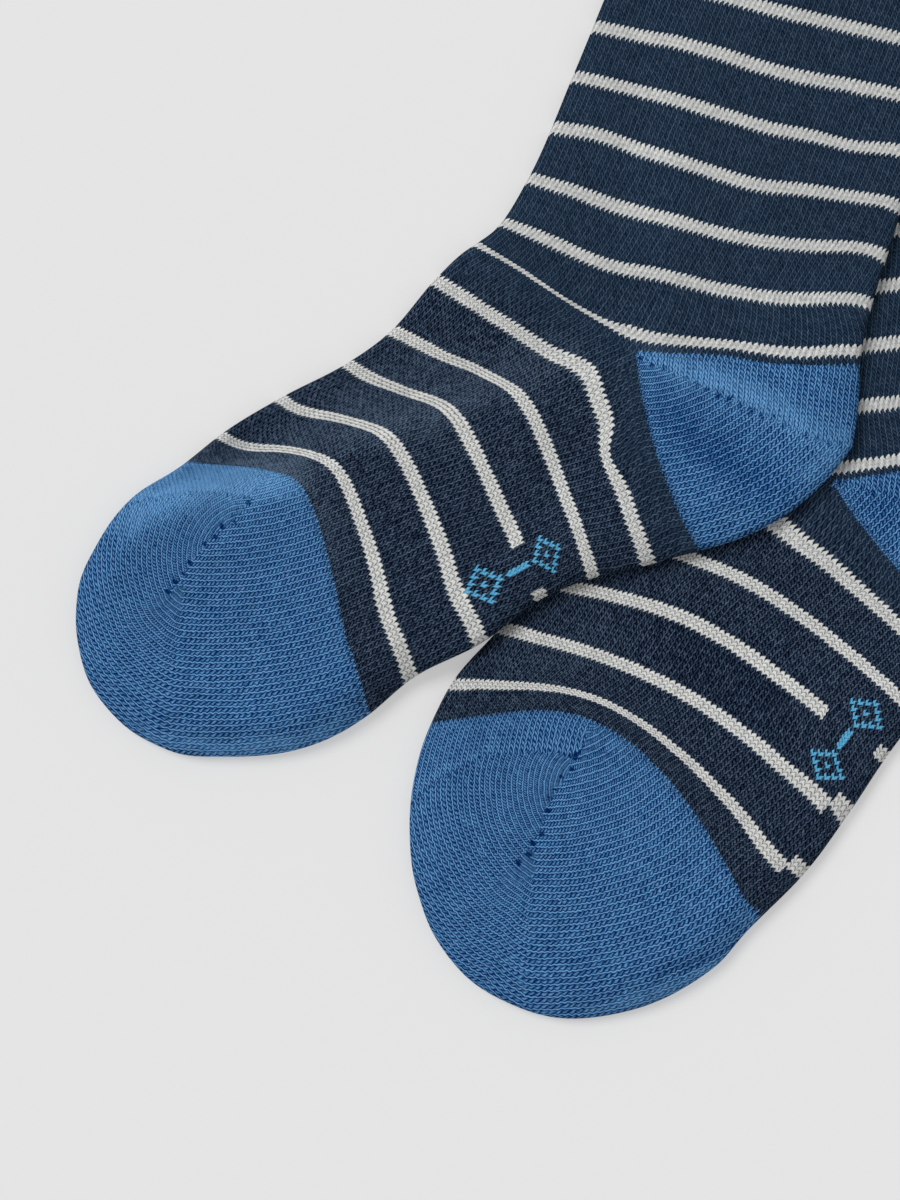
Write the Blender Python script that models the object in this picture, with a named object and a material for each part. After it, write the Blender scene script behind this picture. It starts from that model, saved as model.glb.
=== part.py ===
"""A pair of children's knitted crew socks laid flat, the upper one lying across the lower one.

Each sock is made of the pieces that a sock has: a ribbed cuff, a body tube that is leg and foot in
one, a heel pocket and a toe pocket. Every piece is a knitted wall round a flat hollow. Sizes are in
millimetres until the meshes are made, and each sock is drawn from its own heel corner, the point on
its side where the leg, the heel pocket and the foot meet.
"""

import math

import bmesh
import bpy
import numpy as np
from mathutils import Vector
from mathutils.bvhtree import BVHTree

MM = 0.001

# The knitted wall and its folded edges.
WALL = 1.6
FOLD_RADIUS = 1.75  # outer radius of a folded edge: two walls and the slit between them
FOLD_STEPS = (0.0, 0.32, 1.01)  # distances from the edge that round the fold off
SEAM_GAP = 0.3
SHOULDER = 8.0  # how far in from the edge the sock reaches its full height
INNER_EASE = 8.0  # the inner skin is drawn in from the edge over this distance

# The 2 x 2 rib of the cuff.
RIB_PITCH = 4.0
RIB_DEPTH = 0.5

# Mesh steps.
ROW_STEP = 7.0
EDGE_STEP = 1.5
HALF_STEPS = 8  # across half of a sock's side, from its edge to the middle
FINE = np.linspace(0.0, 1.0, 201)  # shares at which a line's length is measured
HEEL_EDGE = np.linspace(0.0, 1.0, 20)
SHARP_DEG = 50.0

# How the upper sock drapes over the lower one.
DRAPE_GAP = 0.5
DRAPE_CELL = 2.0
DRAPE_REACH = 6.0  # the upper sock stays up this far past what holds it
DRAPE_BLUR = 4.0
DRAPE_SINK = 0.35  # a sock that is held up is less puffed, by this share of its height
LEAST_PUFF = 0.2  # but it keeps at least this share of its puff
RAY_HEIGHT = 60.0

RISE_START = 0.34  # share of the way across at which a sock starts to rise from low to high
RISE_END = 0.5

# One row for each knitted course that shapes the sock, from the cuff to the heel corner ("leg") and
# from there to the tip of the toe ("foot"). A row runs from the front edge over a bend to the back
# or sole edge. soft rounds the bend, bow swells the stretch behind it, and low and high are the
# thickness of the laid sock before and behind the bend.
COLUMNS = ("name", "front", "bend", "back", "soft", "bow", "low", "high")

UPPER_LEG = (
    ("cuff_top", (23.5, 140.5), (53.5, 133.0), (88.5, 125.0), 0.6, 0.0, 3.8, 3.8),
    ("cuff_base", (14.0, 117.5), (44.0, 110.0), (79.0, 102.0), 0.6, 0.0, 4.0, 4.0),
    ("upper_leg", (-4.0, 73.5), (24.5, 67.0), (61.5, 58.0), 0.6, 0.0, 4.2, 4.6),
    ("mid_leg", (-12.0, 54.0), (18.5, 46.0), (54.0, 38.5), 0.5, 0.0, 4.8, 4.2),
    ("low_leg", (-20.5, 34.5), (18.0, 22.0), (48.0, 19.5), 0.3, 0.0, 4.6, 5.0),
    ("ankle", (-25.5, 26.0), (15.0, 11.5), (45.0, 10.0), 0.3, 0.0, 5.2, 5.4),
    ("crease", (-30.5, 21.5), (1.0, 3.0), (43.0, 1.0), 0.1, 0.0, 3.6, 5.6),
    ("heel", (-32.5, 20.0), (0.0, 0.0), (42.5, -2.5), 0.0, 0.0, 3.9, 6.0),
)
UPPER_FOOT = (
    ("heel", (-32.5, 20.0), (0.0, 0.0), (12.5, -37.0), 0.0, -2.2, 3.9, 6.0),
    ("instep", (-38.5, 14.5), (-7.5, -4.5), (2.0, -40.0), 0.2, -1.3, 4.0, 7.0),
    ("arch", (-47.0, 5.0), (-21.0, -6.0), (-8.5, -42.5), 0.2, 0.0, 3.9, 7.1),
    ("waist", (-56.0, -1.0), (-35.0, -8.5), (-18.5, -46.5), 0.2, 0.0, 3.8, 7.1),
    ("ball", (-68.5, -7.5), (-46.5, -13.0), (-30.0, -55.0), 0.2, 0.0, 3.8, 7.1),
    ("fore", (-80.0, -14.5), (-56.5, -18.5), (-43.5, -62.0), 0.2, 0.0, 3.9, 7.0),
    ("toe_line", (-88.0, -19.5), (-65.5, -20.0), (-51.0, -68.5), 0.25, 1.0, 4.4, 7.0),
    ("toe_root", (-97.5, -27.0), (-78.5, -29.5), (-65.0, -75.5), 0.4, 0.0, 6.2, 7.1),
    ("toe_mid", (-104.0, -35.5), (-91.5, -42.0), (-79.5, -77.0), 0.6, 0.0, 6.8, 7.1),
    ("toe_end", (-108.0, -45.5), (-101.5, -55.5), (-91.0, -75.5), 0.8, 0.0, 6.6, 6.8),
    ("tip_side", (-108.0, -54.5), (-104.0, -61.0), (-99.5, -70.5), 0.8, 0.0, 5.6, 5.8),
    ("tip", (-105.5, -63.0), (-105.5, -63.0), (-105.5, -63.0), 0.8, 0.0, 3.6, 3.6),
)
LOWER_LEG = (
    ("cuff_top", (-25.0, 139.0), (6.5, 140.5), (42.5, 146.0), 0.6, 0.0, 3.7, 3.7),
    ("cuff_base", (-26.0, 114.0), (5.0, 115.5), (41.5, 121.0), 0.6, 0.0, 3.8, 3.8),
    ("upper_leg", (-30.0, 66.5), (0.5, 67.5), (39.0, 72.0), 0.6, 0.0, 3.9, 3.9),
    ("mid_leg", (-31.5, 35.5), (-3.0, 36.0), (37.5, 41.0), 0.5, 0.0, 3.9, 4.0),
    ("low_leg", (-32.5, 25.5), (-5.0, 24.5), (38.5, 30.0), 0.4, 0.0, 3.9, 4.3),
    ("ankle", (-34.0, 15.5), (-6.0, 12.5), (40.5, 19.0), 0.4, 0.0, 3.9, 4.6),
    ("crease", (-36.0, 8.0), (-1.5, 2.0), (42.0, 9.0), 0.1, 0.0, 3.8, 5.0),
    ("heel", (-36.5, 6.0), (0.0, 0.0), (42.5, 6.0), 0.0, 0.0, 3.9, 5.2),
)
LOWER_FOOT = (
    ("heel", (-36.5, 6.0), (0.0, 0.0), (26.0, -28.0), 0.0, -2.0, 3.9, 5.2),
    ("instep", (-41.0, 1.0), (-9.0, -9.0), (21.5, -36.5), 0.3, 0.0, 4.0, 5.2),
    ("arch", (-48.5, -8.0), (-19.5, -18.0), (16.0, -45.0), 0.3, 0.0, 4.2, 5.4),
    ("waist", (-57.5, -19.0), (-29.0, -25.0), (9.5, -54.0), 0.4, 0.0, 4.6, 5.6),
    ("ball", (-64.5, -28.0), (-34.0, -37.0), (2.5, -64.5), 0.5, 0.0, 5.2, 6.0),
    ("fore", (-74.0, -39.0), (-45.0, -39.0), (-7.0, -77.0), 0.4, 0.0, 5.4, 6.2),
    ("toe_line", (-78.0, -47.5), (-48.5, -41.5), (-13.0, -83.5), 0.4, 1.0, 6.2, 6.8),
    ("toe_root", (-81.0, -56.5), (-57.0, -53.0), (-23.5, -94.0), 0.5, 0.0, 6.8, 7.1),
    ("toe_mid", (-82.0, -68.0), (-66.5, -68.0), (-37.5, -101.5), 0.6, 0.0, 6.9, 7.1),
    ("toe_end", (-80.5, -79.0), (-71.5, -81.5), (-53.0, -103.5), 0.8, 0.0, 6.4, 6.6),
    ("tip_side", (-77.0, -88.0), (-72.0, -90.0), (-62.0, -101.0), 0.8, 0.0, 5.6, 5.8),
    ("tip", (-70.5, -96.0), (-70.5, -96.0), (-70.5, -96.0), 0.8, 0.0, 3.6, 3.6),
)

# The heel pocket ends in a point at the back of the heel. sole_bow and back_bow swell the outline
# on both sides of that point, and dome lifts the middle of the pocket.
SOCKS = {
    "lower_sock": {
        "corner": (74.2, 22.7),
        "leg": LOWER_LEG,
        "foot": LOWER_FOOT,
        "heel": {"point": (43.5, -9.5), "sole_bow": 3.0, "back_bow": 1.5, "dome": 1.2},
    },
    "upper_sock": {
        "corner": (36.0, 46.7),
        "leg": UPPER_LEG,
        "foot": UPPER_FOOT,
        "heel": {"point": (41.0, -17.5), "sole_bow": 3.5, "back_bow": 0.5, "dome": 1.0},
    },
}

# Knit colours as they look on a screen, from 0 to 255.
YARNS = {
    "navy_knit": {"screen": (38, 51, 69), "roughness": 0.92},
    "blue_knit": {"screen": (57, 98, 141), "roughness": 0.9},
    "navy_rib": {"screen": (36, 48, 66), "roughness": 0.92},
}


def clear_scene():
    for obj in list(bpy.data.objects):
        bpy.data.objects.remove(obj, do_unlink=True)


def linear(screen):
    """A screen colour as the linear values that a material takes."""
    shares = [value / 255 for value in screen]
    return [s / 12.92 if s <= 0.04045 else ((s + 0.055) / 1.055) ** 2.4 for s in shares]


def yarn_material(node, yarn_name):
    yarn = YARNS[yarn_name]
    material = bpy.data.materials.new(f"{node}_{yarn_name}")
    material.use_nodes = True
    shader = material.node_tree.nodes["Principled BSDF"]
    shader.inputs["Base Color"].default_value = (*linear(yarn["screen"]), 1.0)
    shader.inputs["Roughness"].default_value = yarn["roughness"]
    shader.inputs["Metallic"].default_value = 0.0
    material.diffuse_color = shader.inputs["Base Color"].default_value
    return material


def smoothstep(x):
    x = np.clip(x, 0.0, 1.0)
    return x * x * (3 - 2 * x)


def spline(knots, values, at):
    """The smooth curve through rows of values at the knots, read at the places in at."""
    slopes = np.gradient(values, knots, axis=0)
    left = np.clip(np.searchsorted(knots, at, side="right") - 1, 0, len(knots) - 2)
    width = (knots[left + 1] - knots[left])[..., None]
    x = (at - knots[left])[..., None] / width
    start, end = values[left], values[left + 1]
    leave, arrive = slopes[left] * width, slopes[left + 1] * width
    return (
        (2 * x**3 - 3 * x**2 + 1) * start
        + (x**3 - 2 * x**2 + x) * leave
        + (3 * x**2 - 2 * x**3) * end
        + (x**3 - x**2) * arrive
    )


def column(rows, name):
    place = COLUMNS.index(name)
    return np.array([row[place] for row in rows], float).reshape(len(rows), -1)


def row_knots(rows, start):
    """Where the rows lie along the sock: the mean of how far their three points move."""
    steps = [np.linalg.norm(np.diff(column(rows, name), axis=0), axis=1) for name in ("front", "bend", "back")]
    return start + np.concatenate([[0.0], np.cumsum(np.mean(steps, axis=0))])


def bowed(start, end, share, bow):
    """Points on the line from start to end, swollen sideways by bow at its middle."""
    along = end - start
    side = np.stack([-along[..., 1], along[..., 0]], axis=-1)
    side /= np.maximum(np.linalg.norm(side, axis=-1, keepdims=True), 1e-9)
    return start + along * share + side * bow * 4 * share * (1 - share)


class Sock:
    """The plan and the thickness of one laid sock.

    A place is given by s, a distance along the sock from the top of the cuff, and t, the share of
    the way from the front edge to the back or sole edge. Leg and foot share the front half of the
    row through the heel corner, and the heel pocket fills the space between their back halves.
    """

    def __init__(self, shape, base_height):
        self.shape = shape
        self.corner = np.array(shape["corner"])
        self.base_height = base_height
        leg, foot = shape["leg"], shape["foot"]
        leg_knots = row_knots(leg, 0.0)
        foot_knots = row_knots(foot, leg_knots[-1])
        self.marks = dict(zip([row[0] for row in leg + foot], [*leg_knots, *foot_knots]))
        # Past the tip both edges go on round it, so that the outline is smooth there.
        past_tip = 2 * foot_knots[-1] - foot_knots[-2]
        before, tip = foot[-2], foot[-1]
        beyond = ("beyond", before[3], tip[2], before[1], *tip[4:])
        self.knots = {
            "shared": np.array([*leg_knots, *foot_knots[1:], past_tip]),
            "leg": leg_knots,
            "foot": np.array([*foot_knots, past_tip]),
        }
        rows = {"shared": leg + foot[1:] + (beyond,), "leg": leg, "foot": foot + (beyond,)}
        self.values = {
            part: np.hstack([column(rows[part], name) for name in names])
            for part, names in (
                ("shared", ("front", "bend", "soft", "low")),
                ("leg", ("back", "bow", "high")),
                ("foot", ("back", "bow", "high")),
            )
        }
        self.outline = self.trace_outline()

    def row_values(self, part, s):
        shared = spline(self.knots["shared"], self.values["shared"], s)
        own = spline(self.knots[part], self.values[part], s)
        return {
            "front": shared[..., 0:2],
            "bend": shared[..., 2:4],
            "soft": shared[..., 4:5],
            "low": shared[..., 5],
            "back": own[..., 0:2],
            "bow": own[..., 2:3],
            "high": own[..., 3],
        }

    def plan(self, part, s, t):
        row = self.row_values(part, s)
        across = (2 * t - 1)[..., None]
        rounding = 1 - np.sqrt(1 + row["soft"] ** 2)
        to_front = (-across + np.sqrt(across**2 + row["soft"] ** 2) + rounding) / 2
        to_back = (across + np.sqrt(across**2 + row["soft"] ** 2) + rounding) / 2
        behind = bowed(row["bend"], row["back"], to_back, row["bow"])
        return behind + (row["front"] - row["bend"]) * to_front

    def thickness(self, part, s, t):
        row = self.row_values(part, s)
        rise = smoothstep((t - RISE_START) / (RISE_END - RISE_START))
        return row["low"] + (row["high"] - row["low"]) * rise

    def heel_plan(self, u, v):
        """The heel pocket: u runs back from the heel corner, and v down from it."""
        heel = self.shape["heel"]
        mark = np.full_like(u, self.marks["heel"])
        ends = np.zeros_like(u)
        top = self.plan("leg", mark, 0.5 + u / 2)
        front = self.plan("foot", mark, 0.5 + v / 2)
        corner = self.plan("leg", mark, ends + 0.5)
        back_end = self.plan("leg", mark, ends + 1.0)
        sole_end = self.plan("foot", mark, ends + 1.0)
        point = np.broadcast_to(np.array(heel["point"]), corner.shape)
        u, v = u[..., None], v[..., None]
        back = bowed(back_end, point, v, heel["back_bow"])
        sole = bowed(sole_end, point, u, -heel["sole_bow"])
        straight = (1 - u) * ((1 - v) * corner + v * sole_end) + u * ((1 - v) * back_end + v * point)
        return (1 - v) * top + v * sole + (1 - u) * front + u * back - straight

    def trace_outline(self):
        """The edge of the laid sock from the front of the cuff round the toe and heel to its back."""
        cuff, heel, tip = (self.marks[name] for name in ("cuff_top", "heel", "tip"))
        leg = np.arange(cuff, heel, EDGE_STEP)
        foot = np.arange(heel, tip, EDGE_STEP)
        one = np.ones_like
        return np.concatenate(
            [
                self.plan("leg", leg, 0 * leg),
                self.plan("foot", foot, 0 * foot),
                self.plan("foot", np.append(foot, tip)[::-1], np.ones(len(foot) + 1)),
                self.heel_plan(HEEL_EDGE, one(HEEL_EDGE))[1:],
                self.heel_plan(one(HEEL_EDGE), HEEL_EDGE[::-1])[1:],
                self.plan("leg", leg[::-1], one(leg)),
            ]
        )

    def to_edge(self, places):
        """How far each place is from the outline, and the direction that leads in from there."""
        start, end = self.outline[:-1], self.outline[1:]
        along = end - start
        share = np.einsum("pnk,nk->pn", places[:, None] - start, along) / (along**2).sum(axis=1)
        nearest = start + np.clip(share, 0, 1)[..., None] * along
        gaps = np.linalg.norm(places[:, None] - nearest, axis=2)
        closest = gaps.argmin(axis=1)
        picked = np.arange(len(places))
        distance = gaps[picked, closest]
        inward = np.stack([-along[:, 1], along[:, 0]], axis=1)[closest]
        inward /= np.linalg.norm(inward, axis=1, keepdims=True)
        off = places - nearest[picked, closest]
        clear = distance > FOLD_STEPS[1] / 2
        inward[clear] = off[clear] / distance[clear, None]
        return distance, inward


class Wall:
    """A knitted wall: an outer skin over a laid hollow, an inner skin, and the rims between them."""

    def __init__(self, sock):
        self.sock = sock
        self.index = {}
        self.order = []
        self.outer = []
        self.inner = []
        self.faces = []

    def add_side(self, name, plan, thickness, folded, groove=0.0, shared=None):
        """Adds both layers of one stretch, from a grid of places seen from above.

        folded marks the places where the layers meet in the outline's fold. shared gives, for some
        places, the name of the stretch whose points they reuse.
        """
        rows, columns = plan.shape[:2]
        places = plan.reshape(-1, 2)
        distance, inward = self.sock.to_edge(places)
        distance = np.where(folded.reshape(-1), 0.0, distance)
        eased = np.clip(1 - distance / INNER_EASE, 0, 1) * WALL
        inner_places = places + inward * eased[:, None]
        groove = np.broadcast_to(groove, (rows, columns)).reshape(-1)
        puff = thickness.reshape(-1) - 2 * FOLD_RADIUS
        outer = self.layers(places, distance, puff, groove, 0.0)
        inner = self.layers(inner_places, distance + eased, puff, 0.0, WALL)
        flat = folded.reshape(-1)
        for low, high in (outer, inner):
            middle = (low[flat, 2] + high[flat, 2]) / 2
            low[flat, 2] = middle
            high[flat, 2] = middle

        def point(i, j, layer):
            owner = shared[i][j] if shared is not None and shared[i][j] else (name, i, j)
            at = i * columns + j
            key = (*owner, "fold" if flat[at] else layer)
            if key not in self.index:
                self.index[key] = len(self.outer)
                self.order.append(i + j)
                self.outer.append(outer[layer][at])
                self.inner.append(inner[layer][at])
            return self.index[key]

        for layer in (0, 1):
            for i in range(rows - 1):
                for j in range(columns - 1):
                    around = ((i, j), (i, j + 1), (i + 1, j + 1), (i + 1, j))
                    corners = list(dict.fromkeys(point(*place, layer) for place in around))
                    if len(corners) > 2:
                        self.faces.append(corners)

    def layers(self, places, distance, puff, groove, inset):
        """The lower and upper layer over these places, moved in from the outside by inset."""
        base = self.sock.base_height(places + self.sock.corner)
        bent = np.clip(distance / FOLD_RADIUS, 0, 1)
        fold = FOLD_RADIUS * np.sqrt(1 - (1 - bent) ** 2)
        crown = np.sin(math.pi / 2 * np.clip(distance / SHOULDER, 0, 1))
        lift = np.maximum(puff - DRAPE_SINK * base, LEAST_PUFF * puff) * crown
        cut = groove * fold / FOLD_RADIUS
        middle = base + FOLD_RADIUS
        low = np.column_stack([places, middle - fold + cut + inset])
        high = np.column_stack([places, middle + fold + lift - cut - inset])
        return low, high

    def to_mesh(self, name):
        """The closed mesh, with a strip of faces between the skins at every open edge."""
        bm = bmesh.new()
        outer = [bm.verts.new(Vector(point) * MM) for point in self.outer]
        inner = [bm.verts.new(Vector(point) * MM) for point in self.inner]
        uses = {}
        for corners in self.faces:
            bm.faces.new([outer[k] for k in corners])
            bm.faces.new([inner[k] for k in reversed(corners)])
            for side in zip(corners, corners[1:] + corners[:1]):
                uses.setdefault(frozenset(side), []).append(side)
        for sides in uses.values():
            if len(sides) == 1:
                # Both pieces at a seam split their strips the same way, so that they stay apart.
                near, far = sorted(sides[0], key=self.order.__getitem__)
                bm.faces.new([outer[near], outer[far], inner[far]])
                bm.faces.new([outer[near], inner[far], inner[near]])
        bmesh.ops.recalc_face_normals(bm, faces=bm.faces)
        if bm.calc_volume(signed=True) < 0:
            bmesh.ops.reverse_faces(bm, faces=bm.faces)
        mesh = bpy.data.meshes.new(name)
        bm.to_mesh(mesh)
        bm.free()
        mesh.shade_smooth()
        mesh.set_sharp_from_angle(angle=math.radians(SHARP_DEG))
        return mesh


def through(marks, step):
    """Places through all the marks, with even steps of at most this size between them."""
    places = [marks[0]]
    for start, end in zip(marks, marks[1:]):
        count = max(1, math.ceil((end - start) / step))
        places += [start + (end - start) * (k + 1) / count for k in range(count)]
    return np.array(places)


def half_shares(length):
    """Shares of a line of this length from a folded edge: close steps round the fold, then even ones."""
    even = np.linspace(FOLD_RADIUS, length, HALF_STEPS - len(FOLD_STEPS) + 1)
    steps = np.concatenate([FOLD_STEPS, even])
    return np.minimum(steps / length, np.arange(HALF_STEPS + 1) / HALF_STEPS)


def across_shares(sock, part, s):
    """The values of t across one row, with the bend at the middle one."""
    line = sock.plan(part, np.full_like(FINE, s), FINE)
    run = np.concatenate([[0.0], np.cumsum(np.linalg.norm(np.diff(line, axis=0), axis=1))])
    middle = len(FINE) // 2
    front, back = run[middle], run[-1] - run[middle]
    if min(front, back) < FOLD_STEPS[1]:
        return np.linspace(0.0, 1.0, 2 * HALF_STEPS + 1)
    places = np.concatenate(
        [half_shares(front) * front, run[-1] - half_shares(back)[-2::-1] * back]
    )
    return np.interp(places, run, FINE)


def past_seam(sock, part, s, t):
    """Moves a row of places along the sock until it lies one seam gap past where it was."""
    here = sock.plan(part, s, t)
    rate = sock.plan(part, s + SEAM_GAP, t) - here
    along = np.gradient(here, axis=0)
    along /= np.linalg.norm(along, axis=1, keepdims=True)
    parted = np.abs(along[:, 0] * rate[:, 1] - along[:, 1] * rate[:, 0])
    return s + SEAM_GAP * SEAM_GAP / parted


def tube_grid(sock, part, rows, seam_first=False):
    """The places of a stretch of leg, foot or toe: (s, t) for each, and which lie on the fold."""
    t = np.array([across_shares(sock, part, s) for s in rows])
    s = np.repeat(rows[:, None], t.shape[1], axis=1)
    if seam_first:
        s[0] = past_seam(sock, part, s[0], t[0])
    folded = np.zeros(t.shape, bool)
    folded[:, [0, -1]] = True
    return s, t, folded


def body_wall(sock):
    """Leg and foot in one tube, open at the cuff, the toe and the heel pocket."""
    marks = sock.marks
    leg_names = [row[0] for row in sock.shape["leg"] if row[0] != "cuff_top"]
    foot_names = [row[0] for row in sock.shape["foot"]]
    foot_names = foot_names[: foot_names.index("toe_line") + 1]
    leg_rows = through([marks[name] for name in leg_names], ROW_STEP)
    foot_rows = through([marks[name] for name in foot_names], ROW_STEP)
    wall = Wall(sock)
    s, t, folded = tube_grid(sock, "leg", leg_rows, seam_first=True)
    wall.add_side("leg", sock.plan("leg", s, t), sock.thickness("leg", s, t), folded)
    s, t, folded = tube_grid(sock, "foot", foot_rows)
    shared = [[None] * t.shape[1] for _ in foot_rows]
    for j in range(HALF_STEPS + 1):
        shared[0][j] = ("leg", len(leg_rows) - 1, j)
    wall.add_side("foot", sock.plan("foot", s, t), sock.thickness("foot", s, t), folded, shared=shared)
    return wall


def toe_wall(sock):
    """The toe pocket, closed at its tip."""
    marks = sock.marks
    names = ("toe_line", "toe_root", "toe_mid", "toe_end", "tip_side")
    rows = through([marks[name] for name in names], ROW_STEP)
    tip = marks["tip"]
    last = rows[-1]
    rows = np.array([*rows, (last + tip) / 2, (last + 3 * tip) / 4, tip])  # closer rows round the tip
    s, t, folded = tube_grid(sock, "foot", rows, seam_first=True)
    folded[-1] = True
    shared = [[None] * t.shape[1] for _ in rows]
    shared[-1] = [("tip", 0, 0)] * t.shape[1]
    wall = Wall(sock)
    wall.add_side("toe", sock.plan("foot", s, t), sock.thickness("foot", s, t), folded, shared=shared)
    return wall


def heel_wall(sock):
    """The heel pocket, open along its seams with the leg and the foot."""
    ends = np.array([0.0, 1.0])

    def length(u, v):
        line = sock.heel_plan(np.broadcast_to(u, FINE.shape), np.broadcast_to(v, FINE.shape))
        return np.linalg.norm(np.diff(line, axis=0), axis=1).sum()

    back_lengths = [length(FINE, end) for end in ends]
    down_lengths = [length(end, FINE) for end in ends]
    u = np.empty((HALF_STEPS + 1, HALF_STEPS + 1))
    v = np.empty_like(u)
    for k in range(HALF_STEPS + 1):
        other = k / HALF_STEPS
        back = np.interp(other, ends, back_lengths)
        down = np.interp(other, ends, down_lengths)
        u[:, k] = np.maximum(1 - half_shares(back)[::-1], SEAM_GAP / back)
        v[k, :] = np.maximum(1 - half_shares(down)[::-1], SEAM_GAP / down)
    folded = np.zeros(u.shape, bool)
    folded[-1, :] = True
    folded[:, -1] = True
    edge = np.full_like(u, sock.marks["heel"])
    dome = sock.shape["heel"]["dome"] * np.sin(math.pi * u) * np.sin(math.pi * v)
    thickness = sock.thickness("leg", edge, np.ones_like(u)) + dome
    wall = Wall(sock)
    wall.add_side("heel", sock.heel_plan(u, v), thickness, folded)
    return wall


def cuff_wall(sock):
    """The cuff, with its ribs as grooves cut into the outside."""
    rows = through([sock.marks["cuff_top"], sock.marks["cuff_base"]], ROW_STEP)
    line = sock.plan("leg", np.full_like(FINE, rows[0]), FINE)
    width = np.linalg.norm(np.diff(line, axis=0), axis=1).sum()
    quarter = math.pi / 2 * FOLD_RADIUS
    half_round = width - 2 * FOLD_RADIUS + 2 * quarter
    ribs = round(half_round / RIB_PITCH)
    arc = np.linspace(0.0, half_round, 2 * ribs + 1)
    from_edge = np.minimum(arc, half_round - arc)
    bent = np.clip(from_edge / quarter, 0, 1) * math.pi / 2
    inset = FOLD_RADIUS * (1 - np.cos(bent)) + np.maximum(from_edge - quarter, 0)
    share = np.where(arc < half_round / 2, inset, width - inset) / width
    t = np.broadcast_to(share, (len(rows), len(share)))
    s = np.broadcast_to(rows[:, None], t.shape)
    folded = np.zeros(t.shape, bool)
    folded[:, [0, -1]] = True
    groove = np.where(np.arange(len(share)) % 2 == 1, RIB_DEPTH, 0.0)
    wall = Wall(sock)
    wall.add_side("cuff", sock.plan("leg", s, t), sock.thickness("leg", s, t), folded, groove)
    return wall


PIECES = {
    "cuff": {"wall": cuff_wall, "yarn": "navy_rib"},
    "body": {"wall": body_wall, "yarn": "navy_knit"},
    "heel": {"wall": heel_wall, "yarn": "blue_knit"},
    "toe": {"wall": toe_wall, "yarn": "blue_knit"},
}


def build_sock(name, shape, base_height, collection, pair):
    """One sock, its pieces parented to an empty at its heel corner."""
    sock = Sock(shape, base_height)
    place = bpy.data.objects.new(name + "_corner", None)
    place.location = (*(sock.corner * MM), 0.0)
    place.parent = pair
    collection.objects.link(place)
    pieces = []
    for piece, plan in PIECES.items():
        node = f"{name}_{piece}"
        obj = bpy.data.objects.new(node, plan["wall"](sock).to_mesh(node))
        obj.data.materials.append(yarn_material(node, plan["yarn"]))
        obj.parent = place
        collection.objects.link(obj)
        pieces.append(obj)
    return pieces


def spread(heights, radius, combine):
    """Combines each cell of a height grid with all the cells within this radius."""
    reach = int(radius // DRAPE_CELL)
    offsets = range(-reach, reach + 1)
    near = [(a, b) for a in offsets for b in offsets if math.hypot(a, b) * DRAPE_CELL <= radius]
    return combine([np.roll(heights, shift, axis=(0, 1)) for shift in near], axis=0)


def drape_over(pieces):
    """The height at which cloth lies over these pieces, as a function of the place on the floor."""
    bpy.context.view_layer.update()
    points, faces = [], []
    for obj in pieces:
        first = len(points)
        points += [obj.matrix_world @ vertex.co / MM for vertex in obj.data.vertices]
        faces += [[first + k for k in face.vertices] for face in obj.data.polygons]
    tree = BVHTree.FromPolygons(points, faces)
    spots = np.array([point[:2] for point in points])
    margin = DRAPE_REACH + DRAPE_BLUR + 2 * DRAPE_CELL
    low, high = spots.min(axis=0) - margin, spots.max(axis=0) + margin
    xs, ys = (np.arange(low[k], high[k] + DRAPE_CELL, DRAPE_CELL) for k in (0, 1))
    heights = np.zeros((len(xs), len(ys)))
    for i, x in enumerate(xs):
        for j, y in enumerate(ys):
            hit = tree.ray_cast(Vector((x, y, RAY_HEIGHT)), Vector((0, 0, -1)))[0]
            heights[i, j] = hit.z if hit else 0.0
    heights = spread(heights, DRAPE_REACH, np.max)
    heights = spread(heights, DRAPE_BLUR, np.mean)
    heights += DRAPE_GAP * smoothstep(heights)

    def base_height(places):
        cells = (places - low) / DRAPE_CELL
        cells = np.clip(cells, 0, np.array(heights.shape) - 1.001)
        i, j = cells.astype(int).T
        a, b = (cells % 1).T
        return (
            (1 - a) * (1 - b) * heights[i, j]
            + a * (1 - b) * heights[i + 1, j]
            + (1 - a) * b * heights[i, j + 1]
            + a * b * heights[i + 1, j + 1]
        )

    return base_height


def on_floor(places):
    return np.zeros(len(places))


def centre_on_origin(pair, pieces):
    """Moves the pair so that the middle of its footprint is the origin."""
    bpy.context.view_layer.update()
    points = np.array([obj.matrix_world @ vertex.co for obj in pieces for vertex in obj.data.vertices])
    middle = (points.min(axis=0) + points.max(axis=0)) / 2
    pair.location = (-middle[0], -middle[1], 0.0)
    bpy.context.view_layer.update()


def main():
    clear_scene()
    collection = bpy.data.collections.new("pair_of_socks")
    bpy.context.scene.collection.children.link(collection)
    pair = bpy.data.objects.new("pair_of_socks", None)
    collection.objects.link(pair)
    lower = build_sock("lower_sock", SOCKS["lower_sock"], on_floor, collection, pair)
    upper = build_sock("upper_sock", SOCKS["upper_sock"], drape_over(lower), collection, pair)
    centre_on_origin(pair, lower + upper)


main()
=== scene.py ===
import math

import bmesh
import bpy
import numpy as np
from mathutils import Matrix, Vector
from mathutils.bvhtree import BVHTree


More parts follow.
